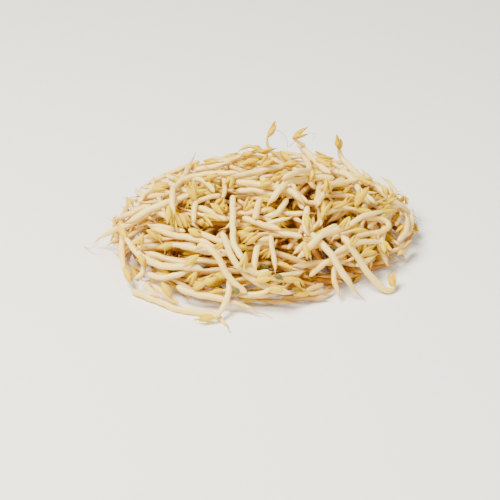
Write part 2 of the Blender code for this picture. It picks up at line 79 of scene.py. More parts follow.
SEED, FILL_COUNT, FILL_TRIES = 11, 90, 10
FILL_CURL, PLAN_POINTS = 0.010, 25
FILL_SHARE, FILL_REACH = 0.72, 0.93
HEAD_CHANCES = (0.56, 0.26, 0.18)

GAP, SAMPLE = 0.3, 1.0
STEEPEST, BALANCE, SLOPE_TRIES = 1.0, 0.55, 30
SOFTENING, LIMPNESS, SAG, LIFTS = 12, 0.25, 0.12, 3
SHOWN_SIDES, SHOWN_STEP, SHOWN_TURN = 5, 9.0, math.radians(28)
FILL_SIDES, FILL_STEP, FILL_TURN = 4, 11.0, math.radians(36)
MOST_BUNCHES, MOST_IN_BUNCH = 58, 7
PRESS_REACH, PRESS_RADIUS, PRESS_STEM = 2.0, 0.8, 1.15

EYE = (0.0, -951.0, 567.0)
SIGHT_TOP, SIGHT_STEP = 60.0, 0.25
EASE_STEP, EASINGS = 1.0, 14
STANDING = {"mast_a": 62.0, "mast_b": 58.0}
NONE, LEAF, BEAN = "none", "leaf", "bean"
print("the heap's half widths:", HEAP_RADII, "mm, its height:", HEAP_HEIGHT, "mm")

# %% [markdown]
# ## The sprouts that show
# The sprouts on the outside of the heap are drawn one by one. Each line gives a name, the stem's
# radius, the kind of head, the root's length, how deep under the heap's form the sprout runs, and
# the path from root to head as an eye in front and above sees it: right and up, in millimetres.

# %% The drawn sprouts, the lowest first
SHOWN = (
    ("front_root", 2.0, NONE, 34, 4, ((14, -44), (-2, -36), (-27, -29), (-39, -28), (-47, -23))),
    ("front_long", 1.9, NONE, 20, 4, ((-12, -53), (-22, -43), (-44, -40), (-60, -32), (-76, -26))),
    ("front_stub", 1.7, NONE, 6, 4, ((-58, -35), (-64, -27), (-68, -21))),
    ("left_drop", 1.9, BEAN, 8, 4, ((-81, 13), (-82, -2), (-80, -15), (-76, -20))),
    ("left_stub", 1.7, NONE, 6, 6, ((-76, -26), (-69, -17), (-67, -4))),
    ("far_left", 1.9, NONE, 20, 3, ((-101, 4), (-88, 13), (-76, 17), (-64, 24))),
    ("left_arch", 1.9, NONE, 16, 5, ((-89, 19), (-71, 23), (-55, 20), (-38, 17))),
    ("back_left", 1.9, NONE, 10, 5, ((-74, 39), (-66, 34), (-50, 37))),
    ("back_leaf", 1.6, LEAF, 2, 8, ((-74, 24), (-66, 31), (-53, 34))),
    ("low_leaf", 1.8, LEAF, 8, 4, ((-13, -12), (-13, -25), (-16, -41), (-23, -47), (-34, -47))),
    ("right_low", 1.9, NONE, 8, 8, ((25, -11), (43, -9), (62, -7))),
    ("right_stub", 1.6, NONE, 8, 6, ((58, -31), (54, -20), (54, -10))),
    ("right_under", 1.6, NONE, 10, 8, ((72, 1), (58, -8), (38, -17))),
    ("right_far", 2.1, LEAF, 18, 9, ((109, 19), (90, 29), (71, 45), (59, 57), (56, 73))),
    ("right_hook", 1.7, LEAF, 8, 4, ((51, -8), (72, 1), (83, 4), (88, 1), (89, -6))),
    ("right_loop", 1.7, NONE, 8, 4, ((58, 0), (70, 9), (83, 11), (90, 15), (85, 20), (73, 20))),
    ("right_rim", 1.7, LEAF, 8, 5, ((59, 13), (76, 19), (91, 22))),
    ("right_edge", 1.8, NONE, 6, 3, ((65, 43), (72, 37), (80, 30))),
    ("pale_curve", 1.8, NONE, 8, 4, ((-36, -14), (-54, -19), (-66, -15))),
    ("left_big", 2.1, BEAN, 8, 2, ((-26, -14), (-50, -13), (-68, -6), (-78, 3), (-84, 8))),
    ("left_inner", 1.8, NONE, 6, 7, ((-69, -8), (-53, -8), (-37, -9))),
    ("left_front", 1.9, NONE, 6, 5, ((-64, -24), (-54, -30), (-46, -36))),
    ("middle_a", 2.1, NONE, 8, 3, ((-65, 15), (-47, 9), (-32, 7), (-19, -3))),
    ("middle_b", 1.9, NONE, 8, 4, ((-39, 13), (-24, 6), (-9, 3))),
    ("middle_c", 2.0, BEAN, 6, 3, ((-14, -8), (-34, -1), (-47, 4), (-60, 1))),
    ("middle_leaf", 1.5, LEAF, 8, 3, ((-8, 7), (-15, 0), (-23, -8))),
    ("front_bar", 2.0, NONE, 6, 1, ((28, -28), (10, -24), (-9, -12), (-18, 1))),
    ("front_leaf", 1.7, LEAF, 6, 2, ((-9, -29), (-1, -28), (9, -33), (16, -33), (22, -38))),
    ("front_bean", 1.8, BEAN, 6, 3, ((-12, -19), (6, -22), (22, -24), (31, -21))),
    ("middle_arch", 1.9, NONE, 8, 3, ((3, -16), (4, 1), (8, 7), (15, 7))),
    ("middle_drop", 1.6, NONE, 8, 4, ((17, -16), (15, -5), (13, 6))),
    ("cross_a", 2.0, NONE, 6, 3, ((22, 12), (3, 18), (-5, 21))),
    ("cross_b", 2.0, NONE, 6, 2, ((7, 35), (5, 27), (3, 17))),
    ("cross_c", 1.8, NONE, 6, 2, ((7, 21), (17, 23), (24, 33))),
    ("cross_d", 1.9, NONE, 6, 4, ((27, -3), (40, 8), (56, 16))),
    ("right_leaf", 1.8, LEAF, 6, 4, ((45, 22), (58, 27), (76, 25))),
    ("right_upper", 1.9, NONE, 6, 3, ((42, 28), (44, 37), (45, 47))),
    ("right_bend", 1.9, NONE, 6, 2, ((42, 25), (53, 42), (61, 45))),
    ("right_drop", 1.9, NONE, 6, 1, ((38, 8), (35, 17), (37, 28))),
    ("spear_a", 2.1, NONE, 18, 0, ((73, -32), (62, -20), (50, -5), (39, 10))),
    ("spear_b", 2.1, LEAF, 10, 0, ((57, 12), (62, -1), (79, -20), (89, -28), (93, -25), (89, -17))),
    ("right_top", 2.0, NONE, 8, 2, ((49, 51), (64, 44), (71, 35), (76, 28))),
    ("right_inner", 1.9, LEAF, 6, 2, ((43, 34), (55, 38), (66, 40), (78, 34))),
    ("right_cross", 1.9, NONE, 8, 3, ((28, -8), (40, -4), (53, 4), (64, 9))),
    ("middle_bar", 2.0, NONE, 6, 3, ((-40, 28), (-28, 26), (-15, 19))),
    ("front_cross", 1.9, NONE, 8, 2, ((-36, -2), (-24, -13), (-11, -26), (-2, -31))),
    ("left_upper", 1.8, LEAF, 6, 3, ((-57, 45), (-45, 40), (-32, 34))),
    ("crown_back", 1.9, NONE, 6, 3, ((-2, 58), (6, 49), (15, 38), (28, 32))),
    ("back_stub", 1.8, NONE, 16, 3, ((-35, 62), (-38, 55), (-43, 45))),
    ("back_leaf_b", 1.7, LEAF, 6, 3, ((-19, 54), (-8, 58), (4, 58))),
    ("back_bar", 1.8, NONE, 6, 4, ((-9, 53), (0, 52), (13, 52))),
    ("back_arch", 1.8, LEAF, 6, 3, ((-8, 63), (0, 68), (10, 62))),
    ("left_long", 2.2, LEAF, 8, 1, ((-81, 11), (-63, 22), (-45, 30), (-28, 36))),
    ("left_neck", 1.6, NONE, 4, 2, ((-17, 36), (-34, 29), (-36, 18))),
    ("left_loop", 1.7, LEAF, 6, 1, ((-22, 35), (-29, 44), (-36, 45), (-38, 37))),
    ("left_tall", 1.9, LEAF, 10, 0, ((-3, 49), (-25, 49), (-42, 45), (-49, 34), (-49, 20), (-46, 12))),
    ("crown_a", 1.9, NONE, 6, 2, ((-12, 38), (6, 38), (18, 34))),
    ("crown_b", 2.2, NONE, 8, 0, ((36, 28), (19, 37), (-10, 43))),
    ("crown_c", 2.0, BEAN, 8, 0, ((23, 54), (3, 49), (-10, 44), (-14, 37))),
    ("crown_d", 2.0, NONE, 8, 0, ((10, 27), (24, 36), (38, 45), (54, 45))),
    ("crown_e", 1.9, NONE, 6, 0, ((20, 33), (35, 44), (38, 52), (34, 62))),
    ("crown_f", 2.1, NONE, 6, 0, ((52, 46), (37, 59), (31, 68))),
    ("crown_g", 1.9, NONE, 6, 0, ((-2, -14), (-10, -3), (-11, 16), (-11, 35))),
    ("mast_a", 1.2, LEAF, 2, 0, ((24, 52), (12, 65), (11, 72), (15, 82))),
    ("mast_b", 1.2, LEAF, 2, 0, ((36, 58), (28, 70), (30, 76), (36, 77))),
)
print("drawn sprouts:", len(SHOWN))

# %% [markdown]
# ## From a drawn path to a path in space
# A drawn path says only what the eye sees. Each of its points is moved back along its line of
# sight until it comes under the heap's form, which is a flattened dome. Two thin sprouts stand up
# over the crown, so their points are put in an upright plane instead.

# %% The dome and the lines of sight
def dome(plan):
    """Height of the heap's form over points of the plan, less than nothing outside its outline."""
    along = np.array([math.cos(HEAP_TURN), math.sin(HEAP_TURN)])
    across = np.array([-along[1], along[0]])
    offset = plan - np.array(HEAP_CENTRE)
    reach = (offset @ along / HEAP_RADII[0]) ** 2 + (offset @ across / HEAP_RADII[1]) ** 2
    return HEAP_HEIGHT * np.sign(1 - reach) * np.abs(1 - reach) ** DOME_POWER


def sight(right, up):
    """The eye, and the way from it to a drawn point."""
    eye = np.array(EYE)
    back = eye / np.linalg.norm(eye)
    return eye, right * np.array([1, 0, 0]) + up * np.array([0, back[2], -back[1]]) - eye


def standing_point(right, up, behind):
    """Where a line of sight crosses the upright plane this far behind the origin."""
    eye, way = sight(right, up)
    return eye + way * (behind - eye[1]) / way[1]


def seen_point(right, up, depth):
    """Where a line of sight comes this deep under the heap's form, or else where it passes closest."""
    eye, way = sight(right, up)
    heights = np.arange(SIGHT_TOP, 0, -SIGHT_STEP)
    line = eye + way * ((heights - eye[2]) / way[2])[:, None]
    above = line[:, 2] - dome(line[:, :2]) + depth
    under = np.flatnonzero(above <= 0)
    return line[under[0] if len(under) else above.argmin()]


print("the form's height over its centre:", dome(np.array([HEAP_CENTRE]))[0], "mm")

# %% [markdown]
# ## Smooth curves
# These helpers measure a path, read it at wanted lengths, and round off its bends. Averaging a
# point with its neighbours again and again rounds a corner just as a soft stem would.

# %% Curve helpers
def smooth_curve(points, per_span=12):
    """A Catmull-Rom curve through the points."""
    ends = np.vstack([2 * points[0] - points[1], points, 2 * points[-1] - points[-2]])
    t = np.linspace(0, 1, per_span, endpoint=False)[:, None]
    spans = [
        b + 0.5 * ((c - a) * t + (2 * a - 5 * b + 4 * c - d) * t**2 + (3 * b - a - 3 * c + d) * t**3)
        for a, b, c, d in zip(ends, ends[1:], ends[2:], ends[3:])
    ]
    return np.vstack([*spans, points[-1:]])


def lengths_along(points):
    """The way along a path from its start to each of its points."""
    steps = np.linalg.norm(np.diff(points, axis=0), axis=1)
    return np.concatenate([[0], np.cumsum(steps)])


def at_lengths(points, lengths, wanted):
    """The path's points at the wanted lengths."""
    return np.column_stack([np.interp(wanted, lengths, column) for column in points.T])


def eased(curve):
    """The curve with its bends rounded off, as a stem takes no sharp bend. Its ends stay."""
    lengths = lengths_along(curve)
    count = math.ceil(lengths[-1] / EASE_STEP)
    even = at_lengths(curve, lengths, np.linspace(0, lengths[-1], count + 1))
    for _ in range(EASINGS):
        even[1:-1] = even[1:-1] / 2 + (even[:-2] + even[2:]) / 4
    return even


def cut_into_steps(curve, head, longest, most_turn):
    """Fewer points where the curve is straight and more in its bends, with the head one straight step."""
    lengths = lengths_along(curve)
    stem = lengths[-1] - (HEAD_LENGTH if head != NONE else 0)
    directions = np.diff(curve, axis=0) / np.diff(lengths)[:, None]
    turns = np.arccos(np.clip((directions[1:] * directions[:-1]).sum(1), -1, 1)) / most_turn
    weights = np.diff(lengths) / longest
    weights[1:] += turns / 2
    weights[:-1] += turns / 2
    effort = np.concatenate([[0], np.cumsum(weights)])
    stem_effort = np.interp(stem, lengths, effort)
    count = max(4, math.ceil(stem_effort))
    wanted = np.interp(np.linspace(0, stem_effort, count + 1), effort, lengths)
    if head != NONE:
        wanted = np.append(wanted, lengths[-1])
    return at_lengths(curve, lengths, wanted)


print("the way round a corner of 3 and 4:", lengths_along(np.array([(0, 0), (3, 0), (3, 4)]))[-1])

# %% [markdown]
# ## How thick a sprout is
# A sprout starts as a thin root, swells to its stem, and narrows again to a neck under its seed
# leaves. Where the seed leaves have come off, it ends blunt.

# %% The thickness of a sprout along its length
def stem_radii(lengths, radius, head, root):
    """A sprout's radius along its path: a thin root, the stem, and a neck or a blunt end."""
    share = np.clip((lengths / root - ROOT_THIN) / (1 - ROOT_THIN), 0, 1)
    grown = ROOT_RADIUS + (radius - ROOT_RADIUS) * share**ROOT_SWELL
    to_end = lengths[-1] - lengths
    if head == NONE:
        return np.minimum(grown, radius * (1 - END_TAPER * np.clip(1 - to_end / END_LENGTH, 0, 1)))
    return grown * (1 - NECK_TAPER * np.clip(1 - (to_end - HEAD_LENGTH) / NECK_LENGTH, 0, 1))


print("radii along a sprout:", stem_radii(np.linspace(0, 60, 5), 2.0, LEAF, 12.0).round(2), "mm")

# %% [markdown]
# ## One sprout and the heap
# A sprout keeps its path and its close samples, so that the heap can say how high it must lie to
# clear everything below it.

# %% A sprout and the heap it lies in
class Sprout:
    """One sprout: its path, its radii, and close samples of both for testing clearances."""

    def __init__(self, name, path, radius, head, root, sides):
        self.name, self.head, self.root, self.sides = name, head, root, sides
        self.plan = path[:, :2]
        self.lengths = lengths_along(path)
        self.radii = stem_radii(self.lengths, radius, head, root)
        self.heights = path[:, 2].copy() if path.shape[1] == 3 else np.zeros(len(path))
        counts = np.maximum(np.ceil(np.diff(self.lengths) / SAMPLE).astype(int), 1)
        self.step = np.append(np.repeat(np.arange(len(counts)), counts), len(counts) - 1)
        self.part = np.append(np.concatenate([np.arange(n) / n for n in counts]), 1.0)
        self.along = self.between(self.lengths)
        self.spots = np.column_stack([self.between(column) for column in self.plan.T])
        self.room = self.between(self.radii)
        self.rest = self.room * math.cos(math.pi / sides)
        if head != NONE:
            in_head = self.step == len(counts) - 1
            self.room[in_head] = self.rest[in_head] = HEAD_ROOM

    def between(self, values):
        """Values at the path's points, read at the close samples."""
        return values[self.step] * (1 - self.part) + values[self.step + 1] * self.part

    def path(self):
        return np.column_stack([self.plan, self.heights])

    def samples(self):
        return np.column_stack([self.spots, self.between(self.heights)])


class Heap:
    """The sprouts laid so far."""

    def __init__(self):
        self.sprouts = []
        self.samples = np.zeros((0, 3))
        self.room = np.zeros(0)

    def least_heights(self, sprout):
        """How high each sample of a new sprout must lie to clear the table and what lies below it."""
        least = sprout.rest
        apart = np.abs(self.samples[:, None, :2] - sprout.spots[None]).max(2)
        near = (apart < 2 * HEAD_ROOM + GAP).any(1)
        if not near.any():
            return least
        samples, room = self.samples[near], self.room[near]
        sideways = ((samples[:, None, :2] - sprout.spots[None]) ** 2).sum(2)
        reach = (room[:, None] + sprout.room[None] + GAP) ** 2 - sideways
        over = np.where(reach > 0, samples[:, 2:] + np.sqrt(np.maximum(reach, 0)), 0)
        return np.maximum(least, over.max(0))

    def top_at(self, plan):
        """Height of the highest sprout within a stem's width of each point."""
        apart = np.abs(self.samples[:, None, :2] - plan[None]).max(2)
        return np.where(apart < 2 * GAP + FILL_RADIUS[1], self.samples[:, 2:], 0).max(0, initial=0)

    def add(self, sprout):
        self.sprouts.append(sprout)
        self.samples = np.vstack([self.samples, sprout.samples()])
        self.room = np.concatenate([self.room, sprout.room])


print("room kept round a head:", HEAD_ROOM, "mm, gap between sprouts:", GAP, "mm")

# %% [markdown]
# ## Laying a sprout
# A fresh stem is stiff, so it rests on two supports either side of its middle, and then bends a
# little under its own weight. Both steps only ever lift the path clear of what lies below.

# %% Lifting, softening and resting
def lift_clear(sprout, least):
    """Raise the path's points until every sample clears what it must."""
    for _ in range(LIFTS):
        short = least - sprout.between(sprout.heights)
        if short.max() <= 0:
            return
        raised = np.zeros(len(sprout.heights))
        np.maximum.at(raised, sprout.step, short * (sprout.part < 1))
        np.maximum.at(raised, sprout.step + 1, short * (sprout.part > 0))
        sprout.heights += np.maximum(raised, 0)


def soften(sprout, least, rounds, sag):
    """Bend the path a little towards what it lies on, as a limp stem does."""
    steps = np.diff(sprout.lengths)
    before = np.append(steps[:1], steps)
    after = np.append(steps, steps[-1:])
    for _ in range(rounds):
        slopes = np.diff(sprout.heights) / steps
        bend = np.append(slopes, slopes[-1:]) - np.append(slopes[:1], slopes)
        sprout.heights += LIMPNESS * bend * before * after / (before + after) - sag
        lift_clear(sprout, least)


def lay_stiff(sprout, least, bow):
    """Rest an arched sprout on the two supports either side of its balance point."""
    total = sprout.lengths[-1]
    balance = BALANCE * total

    def arch(lengths):
        return 4 * bow * (lengths / total) * (1 - lengths / total)

    need = least - arch(sprout.along)
    low, high = -STEEPEST, STEEPEST
    for _ in range(SLOPE_TRIES):
        third = (high - low) / 3
        heights = [(need - slope * (sprout.along - balance)).max() for slope in (low + third, high - third)]
        if heights[0] < heights[1]:
            high -= third
        else:
            low += third
    slope = (low + high) / 2
    height = (need - slope * (sprout.along - balance)).max()
    sprout.heights = height + slope * (sprout.lengths - balance) + arch(sprout.lengths)
    lift_clear(sprout, least)


print("a sprout is softened", SOFTENING, "times and sags", SAG, "mm each time")

# %% [markdown]
# ## Filling the heap
# The inside of the heap is random. Of a few random sprouts the one that lands where the heap is
# lowest is kept, so the heap fills evenly to the dome.

# %% Random sprouts below, drawn sprouts above
def random_plan(rng):
    """The plan of one gently curled sprout that lies within the heap's outline."""
    while True:
        length = rng.uniform(*FILL_LENGTH)
        angle, reach = rng.uniform(0, 2 * math.pi), math.sqrt(rng.uniform())
        offset = reach * np.array([HEAP_RADII[0] * math.cos(angle), HEAP_RADII[1] * math.sin(angle)])
        cosine, sine = math.cos(HEAP_TURN), math.sin(HEAP_TURN)
        turn = np.array([[cosine, sine], [-sine, cosine]])
        along = np.linspace(-0.5, 0.5, PLAN_POINTS) * length
        curl = rng.normal(0, FILL_CURL, 2)
        heading = rng.uniform(0, 2 * math.pi) + curl[0] * along + curl[1] * along * np.abs(along) / length
        steps = np.column_stack([np.cos(heading), np.sin(heading)]) * length / (PLAN_POINTS - 1)
        plan = np.cumsum(steps, axis=0)
        plan += np.array(HEAP_CENTRE) + offset @ turn - plan.mean(axis=0)
        if dome(plan / FILL_REACH + np.array(HEAP_CENTRE) * (1 - 1 / FILL_REACH)).min() > 0:
            return plan


def lay_fill(heap, rng, count):
    """Lay random sprouts, each where the heap is furthest from its form, and held up by the tangle."""
    for number in range(count):
        plans = [random_plan(rng) for _ in range(FILL_TRIES)]
        lacking = [np.mean(FILL_SHARE * dome(plan) - heap.top_at(plan)) for plan in plans]
        head = rng.choice((NONE, LEAF, BEAN), p=HEAD_CHANCES)
        path = cut_into_steps(plans[int(np.argmax(lacking))], head, FILL_STEP, FILL_TURN)
        radius, root = rng.uniform(*FILL_RADIUS), rng.uniform(*FILL_ROOT)
        sprout = Sprout("fill_%02d" % number, path, radius, head, root, FILL_SIDES)
        held_up = FILL_SHARE * number / count * dome(sprout.spots)
        least = np.maximum(heap.least_heights(sprout), held_up)
        lay_stiff(sprout, least, rng.uniform(*FILL_BOW))
        soften(sprout, least, SOFTENING, SAG)
        heap.add(sprout)


def lay_shown(heap):
    """Lay the sprouts that show along their lines of sight."""
    for name, radius, head, root, depth, seen in SHOWN:
        if name in STANDING:
            route = np.array([standing_point(right, up, STANDING[name]) for right, up in seen])
        else:
            route = np.array([seen_point(right, up, depth) for right, up in seen])
        path = cut_into_steps(eased(smooth_curve(route)), head, SHOWN_STEP, SHOWN_TURN)
        sprout = Sprout(name, path, radius, head, root, SHOWN_SIDES)
        least = heap.least_heights(sprout)
        lift_clear(sprout, least)
        soften(sprout, least, SOFTENING, 0)
        heap.add(sprout)

rng = np.random.default_rng(SEED)
heap = Heap()
lay_fill(heap, rng, FILL_COUNT)
lay_shown(heap)
print("sprouts laid:", len(heap.sprouts), "highest sample:", round(heap.samples[:, 2].max(), 2), "mm")

# %% [markdown]
# ## Bunches
# The solids hold sprouts that press on each other in one piece. The same grouping is worked out
# here, so that each dressed bunch stands for the right solid.

# %% Which sprouts share a bunch
def press_spots(heap):
    """Where pairs of sprouts come close enough to press on each other, tightest first."""
    owner = np.concatenate([np.full(len(s.room), k) for k, s in enumerate(heap.sprouts)])
    spots = []
    for one, sprout in enumerate(heap.sprouts):
        samples = sprout.samples()
        thick = (sprout.room > PRESS_STEM) & (sprout.room < HEAD_ROOM)
        for other in range(one + 1, len(heap.sprouts)):
            theirs = owner == other
            room = heap.room[theirs]
            apart = np.linalg.norm(samples[:, None] - heap.samples[theirs][None], axis=2)
            clear = apart - sprout.room[:, None] - room[None]
            clear[~thick] = np.inf
            clear[:, (room <= PRESS_STEM) | (room >= HEAD_ROOM)] = np.inf
            i, j = np.unravel_index(clear.argmin(), clear.shape)
            if clear[i, j] > PRESS_REACH:
                continue
            ends = samples[i], heap.samples[theirs][j]
            middle = (ends[0] + ends[1]) / 2
            strangers = (owner != one) & (owner != other)
            away = np.linalg.norm(heap.samples[strangers] - middle, axis=1) - heap.room[strangers]
            if away.min() > PRESS_RADIUS + GAP:
                spots.append((clear[i, j], one, other, ends))
    return sorted(spots, key=lambda spot: spot[:3])


def bunches(heap):
    """Sprouts grouped by the spots where they press on each other, and those spots."""
    group = list(range(len(heap.sprouts)))
    used = []
    spots = press_spots(heap)
    for size in range(2, MOST_IN_BUNCH + 1):
        for _, one, other, ends in spots:
            first, second = sorted((group[one], group[other]))
            joined = group.count(first) + group.count(second)
            if first == second or joined > size or len(set(group)) <= MOST_BUNCHES:
                continue
            group = [first if g == second else g for g in group]
            used.append((one, ends))
    return [
        ([k for k, g in enumerate(group) if g == name], [ends for one, ends in used if group[one] == name])
        for name in sorted(set(group))
    ]

groups = [members for members, _ in bunches(heap)]
print("bunches:", len(groups), "largest:", max(map(len, groups)))

# %% [markdown]
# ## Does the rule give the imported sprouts?
# If a value here were off, the dressed sprouts would lie beside the solids. So the box round each
# bunch's paths is compared with the box round its solid.

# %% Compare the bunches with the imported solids
def placed(points):
    """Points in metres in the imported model's frame."""
    return (np.asarray(points) - np.array([*BOX_MIDDLE, 0])) * MM


def farthest_corner(members, node):
    points = placed(np.vstack([heap.sprouts[k].path() for k in members]))
    low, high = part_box(node)
    return max(np.abs(points.min(0) - low).max(), np.abs(points.max(0) - high).max())


apart = [farthest_corner(members, node) for members, node in zip(groups, bunch_nodes)]
print("largest step between a bunch's paths and its solid's box:", round(max(apart) / MM, 2), "mm")

# %% [markdown]
# ## Fine paths
# The solids' stems turn in a few steps. On the real sprout the stem bends smoothly and is never
# quite straight. So each path gets a point about every millimetre, and a small slow wobble that
# dies out towards the head. The root is thin and wanders more.

# %% One fine path for each sprout
FINE_STEP = 1.1
STEM_WOBBLE, ROOT_WOBBLE = 0.28, 0.75
WOBBLE_WAVES = (17.0, 9.0)
WOBBLE_FADE = 12.0
TIP_RADIUS, TIP_THINNING = 0.12, 0.7
BLUNTEST = 0.02
FLOOR_SHARE = 0.75
POINTS_PER_SPAN = 8
fine_rng = np.random.default_rng(5)
print("fine points about every", FINE_STEP, "mm, with a wobble of", STEM_WOBBLE, "mm")


def wobble(lengths):
    """A slow sideways wander with two wavelengths in each direction."""
    drift = np.zeros((len(lengths), 3))
    for wave in WOBBLE_WAVES:
        phases = fine_rng.uniform(0, 2 * math.pi, 3)
        drift += np.sin(2 * math.pi * lengths[:, None] / wave + phases) * wave / sum(WOBBLE_WAVES)
    return drift


def fine_path(path, radius, head, root):
    """Points, radii and root share along one sprout, without its head."""
    stem = path[:-1] if head != NONE else path
    curve = smooth_curve(stem, POINTS_PER_SPAN)
    reach = lengths_along(curve)
    count = math.ceil(reach[-1] / FINE_STEP)
    points = at_lengths(curve, reach, np.linspace(0, reach[-1], count + 1))
    lengths = lengths_along(points)
    total = lengths[-1]
    radii = stem_radii(np.append(lengths, total + HEAD_LENGTH), radius, head, root)[:-1]
    if head == NONE:
        radii = stem_radii(lengths, radius, head, root)
        to_end = np.clip((total - lengths) / radius, 0, 1)
        radii = radii * np.sqrt(np.maximum(1 - (1 - to_end) ** 2, BLUNTEST))
    rooty = 1 - np.clip(lengths / root, 0, 1)
    radii = np.maximum(radii * (1 - TIP_THINNING * rooty**2), TIP_RADIUS)
    sway = STEM_WOBBLE + (ROOT_WOBBLE - STEM_WOBBLE) * rooty
    fade = np.clip((total - lengths) / WOBBLE_FADE, 0, 1)
    points = points + wobble(lengths) * (sway * fade)[:, None]
    points[:, 2] = np.maximum(points[:, 2], FLOOR_SHARE * radii)
    return points, radii, rooty, lengths

# %% [markdown]
# ## Seed leaves
# A sprout's head is two yellow seed leaves, which were the halves of the bean, and often the
# first pair of thin pointed leaves between them. A seed leaf is a closed lens: rings of points
# along a bent middle line, with a plump outer side and a flatter inner side. It is made in mesh
# code, because its shape is one formula and every leaf differs.

# %% The form of a seed leaf
LEAF_RINGS, LEAF_SIDES = 13, 10
BASE_ROUNDNESS, TIP_ROUNDNESS, SECTION_ROUNDNESS = 0.6, 0.65, 0.8
WRINKLE, WRINKLE_TURNS = 0.07, 7.0
INNER_PLUMPNESS, FOLD = 0.55, 0.35
leaf_rng = np.random.default_rng(23)


def seed_leaf(base, along, across, length, half_width, half_thickness, curl, widest):
    """A closed leaf from base to tip: points, faces and how far along each point is."""
    thick = np.cross(across, along)
    shares = (1 - np.cos(np.linspace(0, math.pi, LEAF_RINGS))) / 2
    ripple = leaf_rng.uniform(0, 2 * math.pi, 2)
    points, reach = [base], [0.0]
    for share in shares[1:-1]:
        if share < widest:
            swell = (share / widest) ** BASE_ROUNDNESS
        else:
            swell = ((1 - share) / (1 - widest)) ** TIP_ROUNDNESS
        middle = base + along * length * share + thick * curl * share**2
        for side in range(LEAF_SIDES):
            angle = 2 * math.pi * side / LEAF_SIDES
            wrinkle = 1 + WRINKLE * math.sin(WRINKLE_TURNS * share + 2 * angle + ripple[0])
            wide = half_width * swell * wrinkle * math.cos(angle)
            plump = 1.0 if math.sin(angle) > 0 else INNER_PLUMPNESS
            deep = half_thickness * swell**SECTION_ROUNDNESS * plump * math.sin(angle)
            fold = FOLD * half_thickness * (wide / half_width) ** 2
            points.append(middle + across * wide + thick * (deep - fold))
            reach.append(share)
    points.append(base + along * length + thick * curl)
    reach.append(1.0)
    last = len(points) - 1
    faces = []
    for side in range(LEAF_SIDES):
        after = (side + 1) % LEAF_SIDES
        faces.append((0, 1 + side, 1 + after))
        faces.append((last, last - LEAF_SIDES + after, last - LEAF_SIDES + side))
        for ring in range(LEAF_RINGS - 3):
            low, high = 1 + ring * LEAF_SIDES, 1 + (ring + 1) * LEAF_SIDES
            faces.append((low + side, high + side, high + after, low + after))
    return np.array(points), faces, np.array(reach)


print("points in a seed leaf:", (LEAF_RINGS - 2) * LEAF_SIDES + 2)


# %% [markdown]
# ## A head of seed leaves
# A closed head is two plump halves held together. An open head has slimmer halves spread apart
# and two narrow pointed leaves between them. Each value varies a little from head to head. A row
# holds a leaf's spread, its share of the head's length, its half width, its half thickness, how
# far it curls, and where it is widest.

# %% The leaves of one head
CLOSED_HEAD = ((0.13, 0.94, 2.45, 1.7, 0.5, 0.5), (-0.16, 0.88, 2.30, 1.6, -0.5, 0.5))
OPEN_HEAD = (
    (0.24, 0.92, 2.05, 1.15, 0.7, 0.45),
    (-0.25, 0.86, 1.95, 1.15, -0.7, 0.45),
    (0.08, 1.04, 1.10, 0.50, -0.8, 0.35),
    (-0.10, 0.80, 1.05, 0.50, 0.8, 0.35),
)


SPREAD_VARIES, TILT_VARIES, ROLL_VARIES = 0.05, 0.10, 0.35
SIZE_VARIES, CURL_VARIES = (0.9, 1.08), (0.3, 1.3)


def head_leaves(neck, tip, head, scale):
    """All leaves of a head, from the neck's end towards the head's tip."""
    axis = tip - neck
    length = np.linalg.norm(axis)
    axis = axis / length
    side = np.cross(axis, HEAD_LEAN)
    side /= np.linalg.norm(side)
    up = np.cross(side, axis)
    leaves = []
    rows = CLOSED_HEAD if head == BEAN else OPEN_HEAD
    for spread, share, half_width, half_thickness, curl, widest in rows:
        spread += leaf_rng.normal(0, SPREAD_VARIES)
        tilt, roll = leaf_rng.normal(0, TILT_VARIES), leaf_rng.normal(0, ROLL_VARIES)
        along = axis * math.cos(spread) + side * math.sin(spread) + up * tilt
        along /= np.linalg.norm(along)
        outward = side * math.copysign(1, spread)
        across = np.cross(along, outward)
        across /= np.linalg.norm(across)
        across = across * math.cos(roll) + np.cross(along, across) * math.sin(roll)
        size = scale * leaf_rng.uniform(*SIZE_VARIES)
        leaves.append(
            seed_leaf(
                neck - HEAD_SUNK * axis,
                along,
                across,
                (share * length + HEAD_SUNK) * size,
                half_width * size,
                half_thickness * size,
                curl * leaf_rng.uniform(*CURL_VARIES),
                widest,
            )
        )
    return leaves


print("leaves in an open head:", len(OPEN_HEAD), "in a closed one:", len(CLOSED_HEAD))

# %% [markdown]
# ## Marks for the finishes
# A stem's colour changes from its root to its neck and from sprout to sprout. The shaders can't
# know where along a sprout they are, so each point of the mesh carries that as an attribute:
# thickness, how rooty it is, its place along the sprout, the sprout's own tone, and how deep it
# lies under the heap's form, which sets a painted shade.

# %% Gather paths and leaves into one mesh
MARKS = ("thickness", "rooty", "reach", "tone", "painted_depth_shade", "leafy")
# Painted shade starts this deep under the heap's form and is full this much deeper, in mm.
LIT_DEPTH, SHADE_FADING_DEPTH = 5.0, 15.0
HEAD_SCALE = 1.15
TONE_OFFSET = 100.0
LOWEST = 0.00002


def painted_depth_shade(points):
    """Painted shade: how far under the heap's form a point lies, from 0 near the form to 1 deep inside."""
    return np.clip((dome(points[:, :2]) - points[:, 2] - LIT_DEPTH) / SHADE_FADING_DEPTH, 0, 1)


